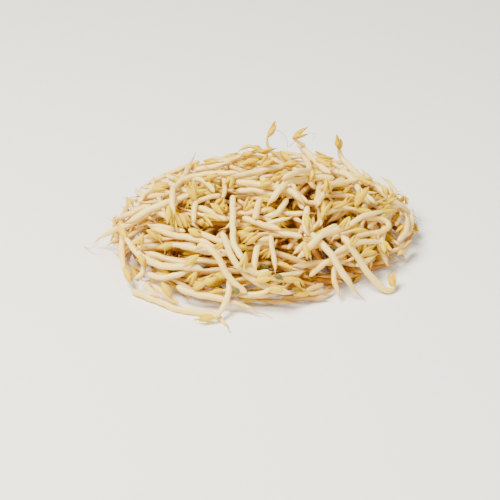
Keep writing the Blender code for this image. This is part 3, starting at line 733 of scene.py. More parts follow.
class Bundle:
    """Points, edges, faces and marks of what goes into one mesh."""

    def __init__(self):
        self.points, self.edges, self.faces, self.count = [], [], [], 0
        self.marks = {mark: [] for mark in MARKS}

    def add(self, points, edges, faces, **marks):
        self.edges += [(a + self.count, b + self.count) for a, b in edges]
        self.faces += [tuple(corner + self.count for corner in face) for face in faces]
        self.points.append(points)
        # Painted shade: how deep under the heap's form each point lies.
        marks["painted_depth_shade"] = painted_depth_shade(points)
        for mark in MARKS:
            self.marks[mark].append(np.broadcast_to(marks.get(mark, 0.0), len(points)))
        self.count += len(points)

    def add_sprout(self, path, radius, head, root, tone):
        points, radii, rooty, lengths = fine_path(path, radius, head, root)
        edges = [(k, k + 1) for k in range(len(points) - 1)]
        reach = lengths + TONE_OFFSET * tone
        self.add(points, edges, [], thickness=radii * MM, rooty=rooty, reach=reach, tone=tone)
        if head != NONE:
            self.add_head(points[-1], points[-1] + (path[-1] - path[-2]), head, tone)

    def add_head(self, neck, tip, head, tone, scale=HEAD_SCALE):
        for points, faces, reach in head_leaves(neck, tip, head, scale):
            self.add(points, [], faces, reach=reach, tone=tone, leafy=1.0)

    def mesh(self, name):
        made = bpy.data.meshes.new(name)
        points = placed(np.vstack(self.points))
        points[:, 2] = np.maximum(points[:, 2], LOWEST / 2)
        made.from_pydata(points.tolist(), self.edges, self.faces)
        for mark, values in self.marks.items():
            layer = made.attributes.new(mark, "FLOAT", "POINT")
            layer.data.foreach_set("value", np.concatenate(values).astype(np.float32))
        return made


print("marks on each point:", ", ".join(MARKS))

# %% [markdown]
# ## Helpers for a tree of nodes
# A tree of Geometry Nodes can be joined up by hand in Blender's node editor. Here it is written
# as a script, so four short helpers add the nodes that are needed again and again.

# %% Helpers for the tree
def link(tree, output, socket):
    tree.links.new(output, socket)


def named(tree, name):
    node = tree.nodes.new("GeometryNodeInputNamedAttribute")
    node.data_type = "FLOAT"
    node.inputs["Name"].default_value = name
    return node.outputs["Attribute"]


def maths(tree, operation, first, second):
    node = tree.nodes.new("ShaderNodeMath")
    node.operation = operation
    for socket, value in zip(node.inputs, (first, second)):
        if isinstance(value, (int, float)):
            socket.default_value = value
        else:
            link(tree, value, socket)
    return node.outputs[0]


def finished(tree, geometry, material):
    smooth = tree.nodes.new("GeometryNodeSetShadeSmooth")
    link(tree, geometry, smooth.inputs["Geometry"])
    finish = tree.nodes.new("GeometryNodeSetMaterial")
    link(tree, smooth.outputs[0], finish.inputs["Geometry"])
    finish.inputs["Material"].default_value = material
    return finish.outputs[0]


print("helpers:", ", ".join(helper.__name__ for helper in (link, named, maths, finished)))

# %% [markdown]
# ## Tubes and root hairs
# A stem is a circle swept along a path, which is what a Curve to Mesh node does. A root hair is a
# short bent thread. Hairs could be drawn one by one, but there are thousands, so one is made and
# placed on the rooty points, turned and sized at random with fixed seeds.

# %% Tubes and hairs
HAIR_SIDES, HAIR_POINTS, HAIR_TAPER = 4, 5, 0.8
HAIR_BEND = ("Start", (0.0, 0.0, 0.0)), ("Middle", (0.25, 0.0, 0.6)), ("End", (-0.1, 0.2, 1.0))
HAIR_SIZES, ANY_TURN = (0.4, 1.0), (6.283, 6.283, 6.283)


def swept(tree, curve, sides, scale):
    """A closed tube along a curve, with the direction round the tube kept as an attribute."""
    circle = tree.nodes.new("GeometryNodeCurvePrimitiveCircle")
    circle.inputs["Radius"].default_value = 1.0
    if isinstance(sides, int):
        circle.inputs["Resolution"].default_value = sides
    else:
        link(tree, sides, circle.inputs["Resolution"])
    store = tree.nodes.new("GeometryNodeStoreNamedAttribute")
    store.data_type, store.domain = "FLOAT_VECTOR", "POINT"
    store.inputs["Name"].default_value = "round"
    link(tree, circle.outputs["Curve"], store.inputs["Geometry"])
    link(tree, tree.nodes.new("GeometryNodeInputPosition").outputs[0], store.inputs["Value"])
    tube = tree.nodes.new("GeometryNodeCurveToMesh")
    tube.inputs["Fill Caps"].default_value = True
    link(tree, curve, tube.inputs["Curve"])
    link(tree, store.outputs["Geometry"], tube.inputs["Profile Curve"])
    link(tree, scale, tube.inputs["Scale"])
    return tube.outputs["Mesh"]


def random_value(tree, kind, low, high, seed):
    node = tree.nodes.new("FunctionNodeRandomValue")
    node.data_type = kind
    at = {"FLOAT_VECTOR": 0, "FLOAT": 2}[kind]
    for socket, value in ((node.inputs[at], low), (node.inputs[at + 1], high)):
        if isinstance(value, (int, float, tuple)):
            socket.default_value = value
        else:
            link(tree, value, socket)
    node.inputs["Seed"].default_value = seed
    return node.outputs[0 if kind == "FLOAT_VECTOR" else 1]


def hairs(tree, paths, chance, length, thickness):
    """Short bent hairs at random turns on the rooty points of the paths."""
    bend = tree.nodes.new("GeometryNodeCurveQuadraticBezier")
    bend.inputs["Resolution"].default_value = HAIR_POINTS
    for socket, spot in HAIR_BEND:
        bend.inputs[socket].default_value = spot
    factor = tree.nodes.new("GeometryNodeSplineParameter").outputs["Factor"]
    taper = maths(tree, "SUBTRACT", 1.0, maths(tree, "MULTIPLY", factor, HAIR_TAPER))
    hair = swept(tree, bend.outputs[0], HAIR_SIDES, maths(tree, "MULTIPLY", taper, thickness))
    draw = tree.nodes.new("FunctionNodeRandomValue")
    draw.data_type = "BOOLEAN"
    draw.inputs["Seed"].default_value = 4
    link(tree, maths(tree, "MULTIPLY", named(tree, "rooty"), chance), draw.inputs["Probability"])
    place = tree.nodes.new("GeometryNodeInstanceOnPoints")
    link(tree, paths, place.inputs["Points"])
    link(tree, draw.outputs[3], place.inputs["Selection"])
    link(tree, hair, place.inputs["Instance"])
    turn = tree.nodes.new("FunctionNodeEulerToRotation")
    link(tree, random_value(tree, "FLOAT_VECTOR", (0, 0, 0), ANY_TURN, 5), turn.inputs[0])
    link(tree, turn.outputs[0], place.inputs["Rotation"])
    size = random_value(tree, "FLOAT", *HAIR_SIZES, 6)
    link(tree, maths(tree, "MULTIPLY", size, length), place.inputs["Scale"])
    return place.outputs["Instances"]


print("points along a hair:", HAIR_POINTS + 1)

# %% [markdown]
# ## One tree for every bunch
# The tree turns all paths of a bunch into closed tubes, lets their thickness swell and shrink a
# little, grows hairs where the mesh is rooty, and gives each part its finish. The seed leaves come
# through unchanged. One tree with named inputs is easier to change than one for each bunch.

# %% The tree that turns paths into sprouts


TREE_INPUTS = (
    ("Sides", "NodeSocketInt", 14),
    ("Swelling", "NodeSocketFloat", 0.16),
    ("Hair Chance", "NodeSocketFloat", 0.45),
    ("Hair Length", "NodeSocketFloat", 0.0035),
    ("Hair Thickness", "NodeSocketFloat", 0.03),
)
SWELLS_PER_METRE = 110.0


def sprout_tree(stem, leaf, root):
    tree = bpy.data.node_groups.new("sprouts_from_paths", "GeometryNodeTree")
    face = tree.interface
    face.new_socket("Geometry", in_out="INPUT", socket_type="NodeSocketGeometry")
    for name, kind, value in TREE_INPUTS:
        face.new_socket(name, in_out="INPUT", socket_type=kind).default_value = value
    face.new_socket("Geometry", in_out="OUTPUT", socket_type="NodeSocketGeometry")
    given = tree.nodes.new("NodeGroupInput").outputs
    split = tree.nodes.new("GeometryNodeSeparateGeometry")
    split.domain = "POINT"
    link(tree, given["Geometry"], split.inputs["Geometry"])
    link(tree, named(tree, "leafy"), split.inputs["Selection"])
    paths = split.outputs["Inverted"]
    curves = tree.nodes.new("GeometryNodeMeshToCurve")
    link(tree, paths, curves.inputs["Mesh"])
    noise = tree.nodes.new("ShaderNodeTexNoise")
    noise.inputs["Scale"].default_value = SWELLS_PER_METRE
    noise.inputs["Detail"].default_value = 1.0
    swell = maths(tree, "MULTIPLY", maths(tree, "SUBTRACT", noise.outputs["Fac"], 0.5), given["Swelling"])
    scale = maths(tree, "MULTIPLY", named(tree, "thickness"), maths(tree, "ADD", swell, 1.0))
    tubes = swept(tree, curves.outputs["Curve"], given["Sides"], scale)
    grown = hairs(tree, paths, given["Hair Chance"], given["Hair Length"], given["Hair Thickness"])
    join = tree.nodes.new("GeometryNodeJoinGeometry")
    realize = tree.nodes.new("GeometryNodeRealizeInstances")
    link(tree, grown, realize.inputs["Geometry"])
    parts = (tubes, stem), (split.outputs["Selection"], leaf), (realize.outputs[0], root)
    for part, material in parts:
        link(tree, finished(tree, part, material), join.inputs["Geometry"])
    link(tree, join.outputs[0], tree.nodes.new("NodeGroupOutput").inputs["Geometry"])
    return tree


print("inputs of the tree:", ", ".join(name for name, _, _ in TREE_INPUTS))

# %% [markdown]
# ## Marks that plant tissue shares
# Stems and seed leaves both show fine streaks along their length and soft blotches. One shader
# group makes both masks from a coordinate, and each finish places it with its own values.

# %% The shared group of streaks and blotches
def shader_node(tree, kind, **values):
    node = tree.nodes.new(kind)
    for name, value in values.items():
        socket = node.inputs[name.replace("_", " ")]
        if isinstance(value, bpy.types.NodeSocket):
            tree.links.new(value, socket)
        else:
            socket.default_value = value
    return node


def tissue_group():
    group = bpy.data.node_groups.new("tissue_marks", "ShaderNodeTree")
    group.interface.new_socket("Coordinate", in_out="INPUT", socket_type="NodeSocketVector")
    for name, value in (("Streak Scale", 2.0), ("Blotch Scale", 0.5)):
        group.interface.new_socket(name, in_out="INPUT", socket_type="NodeSocketFloat").default_value = value
    for name in ("Streaks", "Blotches"):
        group.interface.new_socket(name, in_out="OUTPUT", socket_type="NodeSocketFloat")
    given = group.nodes.new("NodeGroupInput").outputs
    out = group.nodes.new("NodeGroupOutput")
    for name, detail in (("Streak", 4.0), ("Blotch", 2.0)):
        noise = shader_node(group, "ShaderNodeTexNoise", Vector=given["Coordinate"], Detail=detail)
        group.links.new(given[name + " Scale"], noise.inputs["Scale"])
        spread = group.nodes.new("ShaderNodeMapRange")
        spread.inputs["From Min"].default_value, spread.inputs["From Max"].default_value = 0.3, 0.7
        group.links.new(noise.outputs["Fac"], spread.inputs["Value"])
        group.links.new(spread.outputs["Result"], out.inputs[name + ("s" if name == "Streak" else "es")])
    return group


def tissue_marks(tree, place, streak_scale, blotch_scale):
    """The shared group in a material: its streaks and its blotches."""
    marks = shader_node(tree, "ShaderNodeGroup")
    marks.node_tree = tissue
    tree.links.new(place, marks.inputs["Coordinate"])
    marks.inputs["Streak Scale"].default_value = streak_scale
    marks.inputs["Blotch Scale"].default_value = blotch_scale
    return marks.outputs["Streaks"], marks.outputs["Blotches"]


tissue = tissue_group()
print("shared group:", tissue.name, "with", len(tissue.nodes), "nodes")

# %% [markdown]
# ## Helpers for colours
# Each finish starts from plain colours and mixes them by masks, which is quick to read and to
# change. Painted textures could do the same, but they would have to be painted on each sprout.

# %% Helpers for colours
def attribute(tree, name, output="Fac"):
    node = tree.nodes.new("ShaderNodeAttribute")
    node.attribute_name = name
    return node.outputs[output]


def mixed(tree, factor, first, second):
    node = tree.nodes.new("ShaderNodeMix")
    node.data_type = "RGBA"
    for socket, value in zip((node.inputs[0], node.inputs[6], node.inputs[7]), (factor, first, second)):
        if isinstance(value, bpy.types.NodeSocket):
            tree.links.new(value, socket)
        else:
            socket.default_value = value
    return node.outputs[2]


def scaled(tree, value, factor, offset=0.0):
    node = shader_node(tree, "ShaderNodeMath")
    node.operation = "MULTIPLY_ADD"
    tree.links.new(value, node.inputs[0])
    node.inputs[1].default_value, node.inputs[2].default_value = factor, offset
    node.use_clamp = True
    return node.outputs[0]


def new_finish(name, **plain):
    material = bpy.data.materials.new(name)
    material.use_nodes = True
    shader = material.node_tree.nodes["Principled BSDF"]
    for socket, value in plain.items():
        shader.inputs[socket.replace("_", " ")].default_value = value
    return material, material.node_tree, shader


def bumped(tree, shader, height, strength, distance):
    bump = shader_node(tree, "ShaderNodeBump", Strength=strength, Distance=distance, Height=height)
    tree.links.new(bump.outputs[0], shader.inputs["Normal"])


print("helpers:", ", ".join(helper.__name__ for helper in (attribute, mixed, scaled, bumped)))

# %% [markdown]
# ## The stem's finish
# A mung bean stem is a moist cream that light goes into, so it has some subsurface scattering
# under its colour. Deep in the heap it turns dark amber, which is painted shade. It is tan
# towards the root and brown at the root's tip, and each sprout has its own tone.

# %% The stem's material
STEM_CREAM, STEM_GOLD = (0.98, 0.78, 0.28, 1), (0.94, 0.64, 0.10, 1)
STEM_BLOTCH, STEM_STREAK = (0.86, 0.51, 0.04, 1), (1.0, 0.90, 0.56, 1)
# A dark amber painted shade for stems deep in the heap.
STEM_PAINTED_SHADE = (0.44, 0.18, 0.002, 1)
ROOT_TAN, ROOT_BROWN = (0.84, 0.55, 0.12, 1), (0.42, 0.20, 0.04, 1)
STREAKS_ROUND, STREAKS_ALONG = 1.6, 0.12


def stem_finish():
    material, tree, shader = new_finish(
        "sprout_stem",
        Subsurface_Weight=0.3,
        Subsurface_Radius=(1.0, 0.8, 0.35),
        Subsurface_Scale=0.0012,
        Specular_IOR_Level=0.35,
        Coat_Weight=0.06,
        Coat_Roughness=0.25,
    )
    around = tree.nodes.new("ShaderNodeVectorMath")
    around.operation = "MULTIPLY"
    around.inputs[1].default_value = (STREAKS_ROUND,) * 3
    tree.links.new(attribute(tree, "round", "Vector"), around.inputs[0])
    split = shader_node(tree, "ShaderNodeSeparateXYZ", Vector=around.outputs[0])
    along = tree.nodes.new("ShaderNodeMath")
    along.operation = "MULTIPLY"
    along.inputs[1].default_value = STREAKS_ALONG
    tree.links.new(attribute(tree, "reach"), along.inputs[0])
    place = shader_node(tree, "ShaderNodeCombineXYZ", X=split.outputs[0], Y=split.outputs[1])
    tree.links.new(along.outputs[0], place.inputs["Z"])
    streaks, blotches = tissue_marks(tree, place.outputs[0], 2.6, 0.9)
    colour = mixed(tree, attribute(tree, "tone"), STEM_CREAM, STEM_GOLD)
    colour = mixed(tree, scaled(tree, blotches, 0.30), colour, STEM_BLOTCH)
    colour = mixed(tree, scaled(tree, streaks, 0.16), colour, STEM_STREAK)
    # Painted shade: stems turn dark amber deep under the heap's form.
    colour = mixed(tree, scaled(tree, attribute(tree, "painted_depth_shade"), 1.0), colour, STEM_PAINTED_SHADE)
    rooty = attribute(tree, "rooty")
    colour = mixed(tree, scaled(tree, rooty, 1.1), colour, ROOT_TAN)
    colour = mixed(tree, scaled(tree, rooty, 2.2, -1.2), colour, ROOT_BROWN)
    tree.links.new(colour, shader.inputs["Base Color"])
    tree.links.new(scaled(tree, streaks, 0.16, 0.34), shader.inputs["Roughness"])
    bumped(tree, shader, streaks, 0.22, 0.00025)
    return material


stem_material = stem_finish()
print("finish:", stem_material.name)

# %% [markdown]
# ## The seed leaf's finish
# Seed leaves are a strong clear yellow, more ochre where they are old, with fine veins and
# wrinkles, and their tips are browned. Deep in the heap they turn dark ochre, which is painted
# shade. The shared group gives the veins their mask here too.

# %% The seed leaf's material
LEAF_YELLOW, LEAF_OCHRE = (0.72, 0.51, 0.0, 1), (0.68, 0.40, 0.0, 1)
# The middle colour on the next line is a dark ochre painted shade for leaves deep in the heap.
LEAF_BLOTCH, LEAF_PAINTED_SHADE, LEAF_TIP = (0.86, 0.66, 0.0, 1), (0.50, 0.26, 0.0, 1), (0.40, 0.19, 0.01, 1)


def leaf_finish():
    material, tree, shader = new_finish(
        "seed_leaf",
        Subsurface_Weight=0.08,
        Subsurface_Radius=(1.0, 0.7, 0.05),
        Subsurface_Scale=0.0008,
        Specular_IOR_Level=0.22,
        Coat_Weight=0.02,
        Coat_Roughness=0.3,
    )
    place = tree.nodes.new("ShaderNodeTexCoord").outputs["Object"]
    streaks, blotches = tissue_marks(tree, place, 900.0, 260.0)
    colour = mixed(tree, attribute(tree, "tone"), LEAF_YELLOW, LEAF_OCHRE)
    colour = mixed(tree, scaled(tree, blotches, 0.45), colour, LEAF_BLOTCH)
    # Painted shade: leaves turn dark ochre deep under the heap's form.
    colour = mixed(tree, scaled(tree, attribute(tree, "painted_depth_shade"), 0.8), colour, LEAF_PAINTED_SHADE)
    colour = mixed(tree, scaled(tree, attribute(tree, "reach"), 1.6, -1.15), colour, LEAF_TIP)
    tree.links.new(colour, shader.inputs["Base Color"])
    tree.links.new(scaled(tree, streaks, 0.2, 0.36), shader.inputs["Roughness"])
    bumped(tree, shader, streaks, 0.35, 0.0003)
    return material


leaf_material = leaf_finish()
print("finish:", leaf_material.name)

# %% [markdown]
# ## Root hairs and seed coats
# Root hairs are dry brown threads. The seed coats that have come off the beans are thin olive
# green shells with a satin surface. Both are small, so a plain noise gives them enough.

# %% The two small finishes
def mottled_finish(name, first, second, scale, roughness):
    material, tree, shader = new_finish(name, Subsurface_Weight=0.1, Subsurface_Scale=0.0005)
    noise = shader_node(tree, "ShaderNodeTexNoise", Scale=scale, Detail=3.0)
    tree.links.new(tree.nodes.new("ShaderNodeTexCoord").outputs["Object"], noise.inputs["Vector"])
    tree.links.new(mixed(tree, noise.outputs["Fac"], first, second), shader.inputs["Base Color"])
    tree.links.new(scaled(tree, noise.outputs["Fac"], 0.3, roughness), shader.inputs["Roughness"])
    bumped(tree, shader, noise.outputs["Fac"], 0.3, 0.0002)
    return material


HAIR_BROWNS = (0.34, 0.16, 0.05, 1), (0.62, 0.38, 0.14, 1)
COAT_OLIVES = (0.05, 0.06, 0.008, 1), (0.19, 0.18, 0.025, 1)
root_material = mottled_finish("root_hair", *HAIR_BROWNS, 500.0, 0.5)
coat_material = mottled_finish("seed_coat", *COAT_OLIVES, 300.0, 0.3)
print("finishes:", root_material.name, coat_material.name)

# %% [markdown]
# ## From a bundle to a finished piece
# The tree runs on a bundle's mesh, and its result is copied to a plain mesh that rides on the
# heap. The modifier could be kept, but a plain mesh can be measured.

# %% Make a finished piece from a bundle
sprouts_from_paths = sprout_tree(stem_material, leaf_material, root_material)
sprout_inputs = {
    item.name: item.identifier
    for item in sprouts_from_paths.interface.items_tree
    if item.in_out == "INPUT"
}


def grown(name, bundle, **values):
    """One closed mesh grown from a bundle, riding on the heap."""
    scene = bpy.context.scene.collection
    source = bpy.data.objects.new(name + "_paths", bundle.mesh(name + "_paths"))
    scene.objects.link(source)
    modifier = source.modifiers.new("sprouts", "NODES")
    modifier.node_group = sprouts_from_paths
    for socket, value in values.items():
        modifier[sprout_inputs[socket.replace("_", " ")]] = value
    depsgraph = bpy.context.evaluated_depsgraph_get()
    made = bpy.data.meshes.new_from_object(source.evaluated_get(depsgraph))
    source.modifiers.remove(modifier)
    spots = np.empty(3 * len(made.vertices), np.float32)
    made.vertices.foreach_get("co", spots)
    spots[2::3] = np.maximum(spots[2::3], LOWEST)
    made.vertices.foreach_set("co", spots)
    made.update()
    bpy.data.objects.remove(source)
    piece = bpy.data.objects.new(name, made)
    scene.objects.link(piece)
    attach(piece, "root")
    return piece


print("nodes in the tree:", len(sprouts_from_paths.nodes))

# %% [markdown]
# ## Dressing each bunch
# Each bunch of sprouts becomes one piece, which stands for the bunch's solid. Each sprout draws
# its own tone, so neighbours in a bunch differ as real ones do.

# %% Dress the bunches
def stem_radius(sprout):
    """The radius of a sprout's stem above its root."""
    return float(sprout.radii[sprout.lengths > sprout.root].max(initial=ROOT_RADIUS))


STEM_SIDES = 14
tones = np.random.default_rng(31).beta(1.4, 2.2, 1000)
shown_radii = {name: radius for name, radius, *_ in SHOWN}
triangles = 0
for number, members in enumerate(groups):
    bundle = Bundle()
    for k in members:
        sprout = heap.sprouts[k]
        radius = shown_radii.get(sprout.name, stem_radius(sprout))
        bundle.add_sprout(sprout.path(), radius, sprout.head, sprout.root, tones[k])
    piece = grown("bunch_%02d" % (number + 1), bundle, Sides=STEM_SIDES)
    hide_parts(bunch_nodes[number])
    triangles += sum(len(face.vertices) - 2 for face in piece.data.polygons)
print("dressed bunches:", len(groups), "triangles:", triangles)

# %% [markdown]
# ## More sprouts between
# The real heap is denser than the solids. Short sprouts fill the gaps that are left: each comes
# down from the heap's form, and it stays at the highest place where it only just touches others.
# A physics run could do this too, but it would push the drawn sprouts away from their places.

# %% Room in the gaps
INNER_DEPTH, TOUCH = 1.0, 0.25


def height_in_gap(plan, tilt, radius):
    """The highest place between others for a path with this plan and tilt, or None."""
    reach = HEAD_ROOM + radius
    low, high = plan.min(0) - reach, plan.max(0) + reach
    near = ((heap.samples[:, :2] > low) & (heap.samples[:, :2] < high)).all(1)
    samples, room = heap.samples[near], heap.room[near]
    sideways = ((samples[:, None, :2] - plan[None]) ** 2).sum(2)
    upward = (room[:, None] + radius - TOUCH) ** 2 - sideways
    blocks = upward > 0
    middles = (samples[:, 2:] - tilt[None])[blocks]
    halves = np.sqrt(upward[blocks])
    level = (dome(plan) - INNER_DEPTH - tilt).min()
    for k in np.argsort(-(middles + halves)):
        if middles[k] + halves[k] <= level:
            break
        level = min(level, middles[k] - halves[k])
    return level + tilt if level >= (radius - tilt).max() else None


print("a sprout in a gap may sink", TOUCH, "mm into its neighbours")

# %% [markdown]
# ## Filling the gaps
# Each random sprout that finds room is laid at once, so that the next ones keep clear of it. The
# new sprouts are shared out over a few pieces, because one mesh of them all would be too heavy.

# %% Lay and dress the sprouts in the gaps
INNER_TRIES = 3000
INNER_SHARE = (0.45, 0.85)
INNER_RADIUS = (1.3, 1.9)
INNER_ROOT = (6.0, 16.0)
INNER_TILT = 0.35
INNER_HEADS = (0.55, 0.28, 0.17)
INNER_SIDES, INNER_PIECES, INNER_TONES = 10, 6, 500
gap_rng = np.random.default_rng(77)
inner = []
for _ in range(INNER_TRIES):
    plan = random_plan(gap_rng)
    plan = plan[: int(len(plan) * gap_rng.uniform(*INNER_SHARE))]
    radius, root = gap_rng.uniform(*INNER_RADIUS), gap_rng.uniform(*INNER_ROOT)
    head = gap_rng.choice((NONE, LEAF, BEAN), p=INNER_HEADS)
    reach = lengths_along(plan)
    tilt = gap_rng.uniform(-INNER_TILT, INNER_TILT) * (reach - reach.mean())
    heights = height_in_gap(plan, tilt, radius)
    if heights is None:
        continue
    path = cut_into_steps(np.column_stack([plan, heights]), head, SHOWN_STEP, SHOWN_TURN)
    sprout = Sprout("inner_%02d" % len(inner), path, radius, head, root, SHOWN_SIDES)
    heap.add(sprout)
    inner.append((sprout, radius))
print("sprouts in the gaps:", len(inner))

for number in range(INNER_PIECES):
    bundle = Bundle()
    for sprout, radius in inner[number::INNER_PIECES]:
        tone = tones[INNER_TONES + len(bundle.points)]
        bundle.add_sprout(sprout.path(), radius, sprout.head, sprout.root, tone)
    grown("inner_sprouts_%d" % (number + 1), bundle, Sides=INNER_SIDES)

# %% [markdown]
# ## Heads that peep out
# Many yellow heads peep out between the stems, with the rest of the sprout hidden. Each is drawn
# as the eye sees it, from its neck to its tip, and is pushed along the line of sight until it
# rests on what is there. They could be left to chance, but then few would show where they should.

# %% Heads at drawn places
PEEPING = (
    (LEAF, (-35, 33), (-38, 40)),
    (LEAF, (-28, 45), (-22, 47)),
    (LEAF, (-24, 29), (-18, 25)),
    (LEAF, (-52, 27), (-51, 20)),
    (LEAF, (-44, 22), (-40, 17)),
    (LEAF, (-38, 13), (-33, 12)),
    (LEAF, (-69, 9), (-71, 3)),
    (LEAF, (-65, 12), (-59, 9)),
    (BEAN, (-70, -4), (-68, -8)),
    (BEAN, (-56, -22), (-52, -28)),
    (LEAF, (-34, -4), (-40, -8)),
    (LEAF, (-35, -15), (-38, -20)),
    (LEAF, (-29, -21), (-24, -17)),
    (LEAF, (-30, -22), (-35, -24)),
    (LEAF, (-3, 26), (1, 32)),
    (LEAF, (-2, 4), (5, 9)),
    (LEAF, (-3, -3), (-4, -10)),
    (LEAF, (43, 58), (51, 56)),
    (BEAN, (68, 29), (72, 38)),
    (LEAF, (61, 30), (54, 28)),
    (LEAF, (86, 40), (88, 36)),
    (LEAF, (89, 31), (92, 35)),
    (LEAF, (63, 20), (60, 15)),
    (LEAF, (36, 22), (38, 15)),
    (LEAF, (35, 3), (38, -3)),
    (LEAF, (47, 24), (47, 20)),
    (LEAF, (8, 63), (14, 65)),
    (LEAF, (8, 54), (12, 59)),
    (BEAN, (-4, 55), (4, 57)),
    (LEAF, (7, 41), (12, 44)),
    (LEAF, (14, 44), (20, 48)),
    (LEAF, (40, 50), (40, 45)),
    (LEAF, (49, 45), (50, 38)),
    (LEAF, (1, 9), (-4, 6)),
    (LEAF, (4, -20), (12, -17)),
    (LEAF, (65, 4), (68, 8)),
)
HEAD_REST, HEAD_STRETCH, HEAD_SPOTS = 1.0, 1.25, 6
FORM_TOP, REST_STEP, REST_REACH = 62.0, 0.4, 14.0
PEEPING_TONES = 700


def way_to_rest(right, up, offsets, room):
    """The first place along a line of sight where a small piece touches the heap."""
    eye, way = sight(right, up)
    best = None
    for height in np.arange(FORM_TOP, room, -REST_STEP):
        start = eye + way * (height - eye[2]) / way[2]
        points = start + offsets
        near = np.abs(heap.samples - start).max(1) < REST_REACH
        if near.any():
            distance = np.linalg.norm(heap.samples[near][:, None] - points[None], axis=2)
            if (distance - heap.room[near][:, None]).min() < room:
                return best if best is not None else start
        best = start
    return best


bundle = Bundle()
for number, (head, neck, tip) in enumerate(PEEPING):
    eye, neck_way = sight(*neck)
    eye, tip_way = sight(*tip)
    lean = (tip_way - neck_way) * HEAD_STRETCH
    offsets = np.linspace(0, 1, HEAD_SPOTS)[:, None] * lean
    start = way_to_rest(*neck, offsets, HEAD_REST)
    bundle.add_head(start, start + lean, head, tones[PEEPING_TONES + number])
grown("peeping_heads", bundle, Hair_Chance=0.0)
print("peeping heads:", len(PEEPING))

# %% [markdown]
# ## Thin roots
# A few long thin roots stand or lie over the top of the heap. A root could be a curve with a
# bevel, but the stems' tree already makes tapering tubes, so it makes these as well.

# %% Thin roots over the top
THREADS = (
    (0.26, 62, ((15, 77), (18, 77), (21, 75), (24, 70), (24, 64))),
    (0.24, 58, ((25, 66), (33, 73), (40, 75), (43, 74), (40, 70))),
    (0.30, None, ((-106, 2), (-101, 1), (-96, 6))),
    (0.28, None, ((-30, 55), (-24, 52), (-16, 53))),
    (0.26, None, ((60, 54), (56, 48), (58, 42))),
    (0.24, None, ((30, -14), (24, -20), (21, -28))),
    (0.24, None, ((-6, 8), (2, 14), (12, 12))),
    (0.26, None, ((-60, 8), (-54, 0), (-57, -8))),
)
THREAD_STEP, THREAD_POINTS, THREAD_TAPER, THREAD_ROOTY = 4.0, 40, 0.6, 0.75
bundle = Bundle()
for radius, behind, seen in THREADS:
    if behind:
        route = np.array([standing_point(right, up, behind) for right, up in seen])
    else:
        route = np.array([seen_point(right, up, 0) for right, up in seen])
    route = smooth_curve(route)
    path = cut_into_steps(eased(route), NONE, THREAD_STEP, SHOWN_TURN)
    thread = Sprout("thread", path, radius, NONE, 1.0, SHOWN_SIDES)
    if not behind:
        lift_clear(thread, heap.least_heights(thread))
    points = thread.path()
    wanted = np.linspace(0, thread.lengths[-1], THREAD_POINTS)
    dense = at_lengths(points, thread.lengths, wanted)
    edges = [(k, k + 1) for k in range(THREAD_POINTS - 1)]
    taper = radius * MM * (1 - THREAD_TAPER * np.linspace(0, 1, THREAD_POINTS))
    reach = np.arange(float(THREAD_POINTS))
    bundle.add(dense, edges, [], thickness=taper, rooty=THREAD_ROOTY, reach=reach, tone=0.5)
grown("thin_roots", bundle, Sides=6, Hair_Chance=0.0)
print("thin roots:", len(THREADS))

# %% [markdown]
# ## Seed coats
# Three olive seed coats have come off their beans and are caught between the stems. A coat is a
# cupped shell, open on one side. It could be half a sphere with Solidify, but its rim is wavy,
# so it is drawn as an outer and an inner bowl joined at the rim.

# %% Olive seed coats
COATS = ((-9, -26), (9, -11), (18, -17))
COAT_RADIUS, COAT_WALL, COAT_ROOM = 2.0, 0.22, 0.9
COAT_LONG, COAT_NARROW, COAT_WAVE = 1.35, 0.85, 0.12
COAT_OPENING = 0.56 * math.pi
COAT_RINGS, COAT_SIDES = 7, 16
coat_rng = np.random.default_rng(9)


def seed_coat(middle):
    """A cupped shell: an outer bowl and an inner bowl joined at the rim."""
    bowls = []
    turn = 2 * math.pi * np.arange(COAT_SIDES) / COAT_SIDES
    wave = COAT_WAVE * np.sin(2 * turn)
    for radius in (COAT_RADIUS, COAT_RADIUS - COAT_WALL):
        for ring in range(1, COAT_RINGS):
            angle = COAT_OPENING * ring / (COAT_RINGS - 1)
            long = COAT_LONG * math.sin(angle) * np.cos(turn)
            narrow = COAT_NARROW * math.sin(angle) * np.sin(turn)
            bowls.append(radius * np.column_stack([long, narrow, math.cos(angle) + wave]))
    poles = np.array([[0, 0, COAT_RADIUS], [0, 0, COAT_RADIUS - COAT_WALL]])
    points = np.vstack([*bowls, poles])
    spin = coat_rng.normal(size=(3, 3))
    basis, _ = np.linalg.qr(spin)
    if np.linalg.det(basis) < 0:
        basis[:, 0] *= -1
    rows = COAT_RINGS - 1
    outer_pole, inner_pole = 2 * rows * COAT_SIDES, 2 * rows * COAT_SIDES + 1
    faces = []
    for side in range(COAT_SIDES):
        after = (side + 1) % COAT_SIDES
        faces.append((outer_pole, side, after))
        start = rows * COAT_SIDES
        faces.append((inner_pole, start + after, start + side))
        for ring in range(rows - 1):
            low, high = ring * COAT_SIDES, (ring + 1) * COAT_SIDES
            faces.append((low + side, high + side, high + after, low + after))
            inner_low, inner_high = start + low, start + high
            faces.append((inner_low + side, inner_low + after, inner_high + after, inner_high + side))
        rim, inner_rim = (rows - 1) * COAT_SIDES, (2 * rows - 1) * COAT_SIDES
        faces.append((rim + side, inner_rim + side, inner_rim + after, rim + after))
    return points @ basis.T + middle, faces


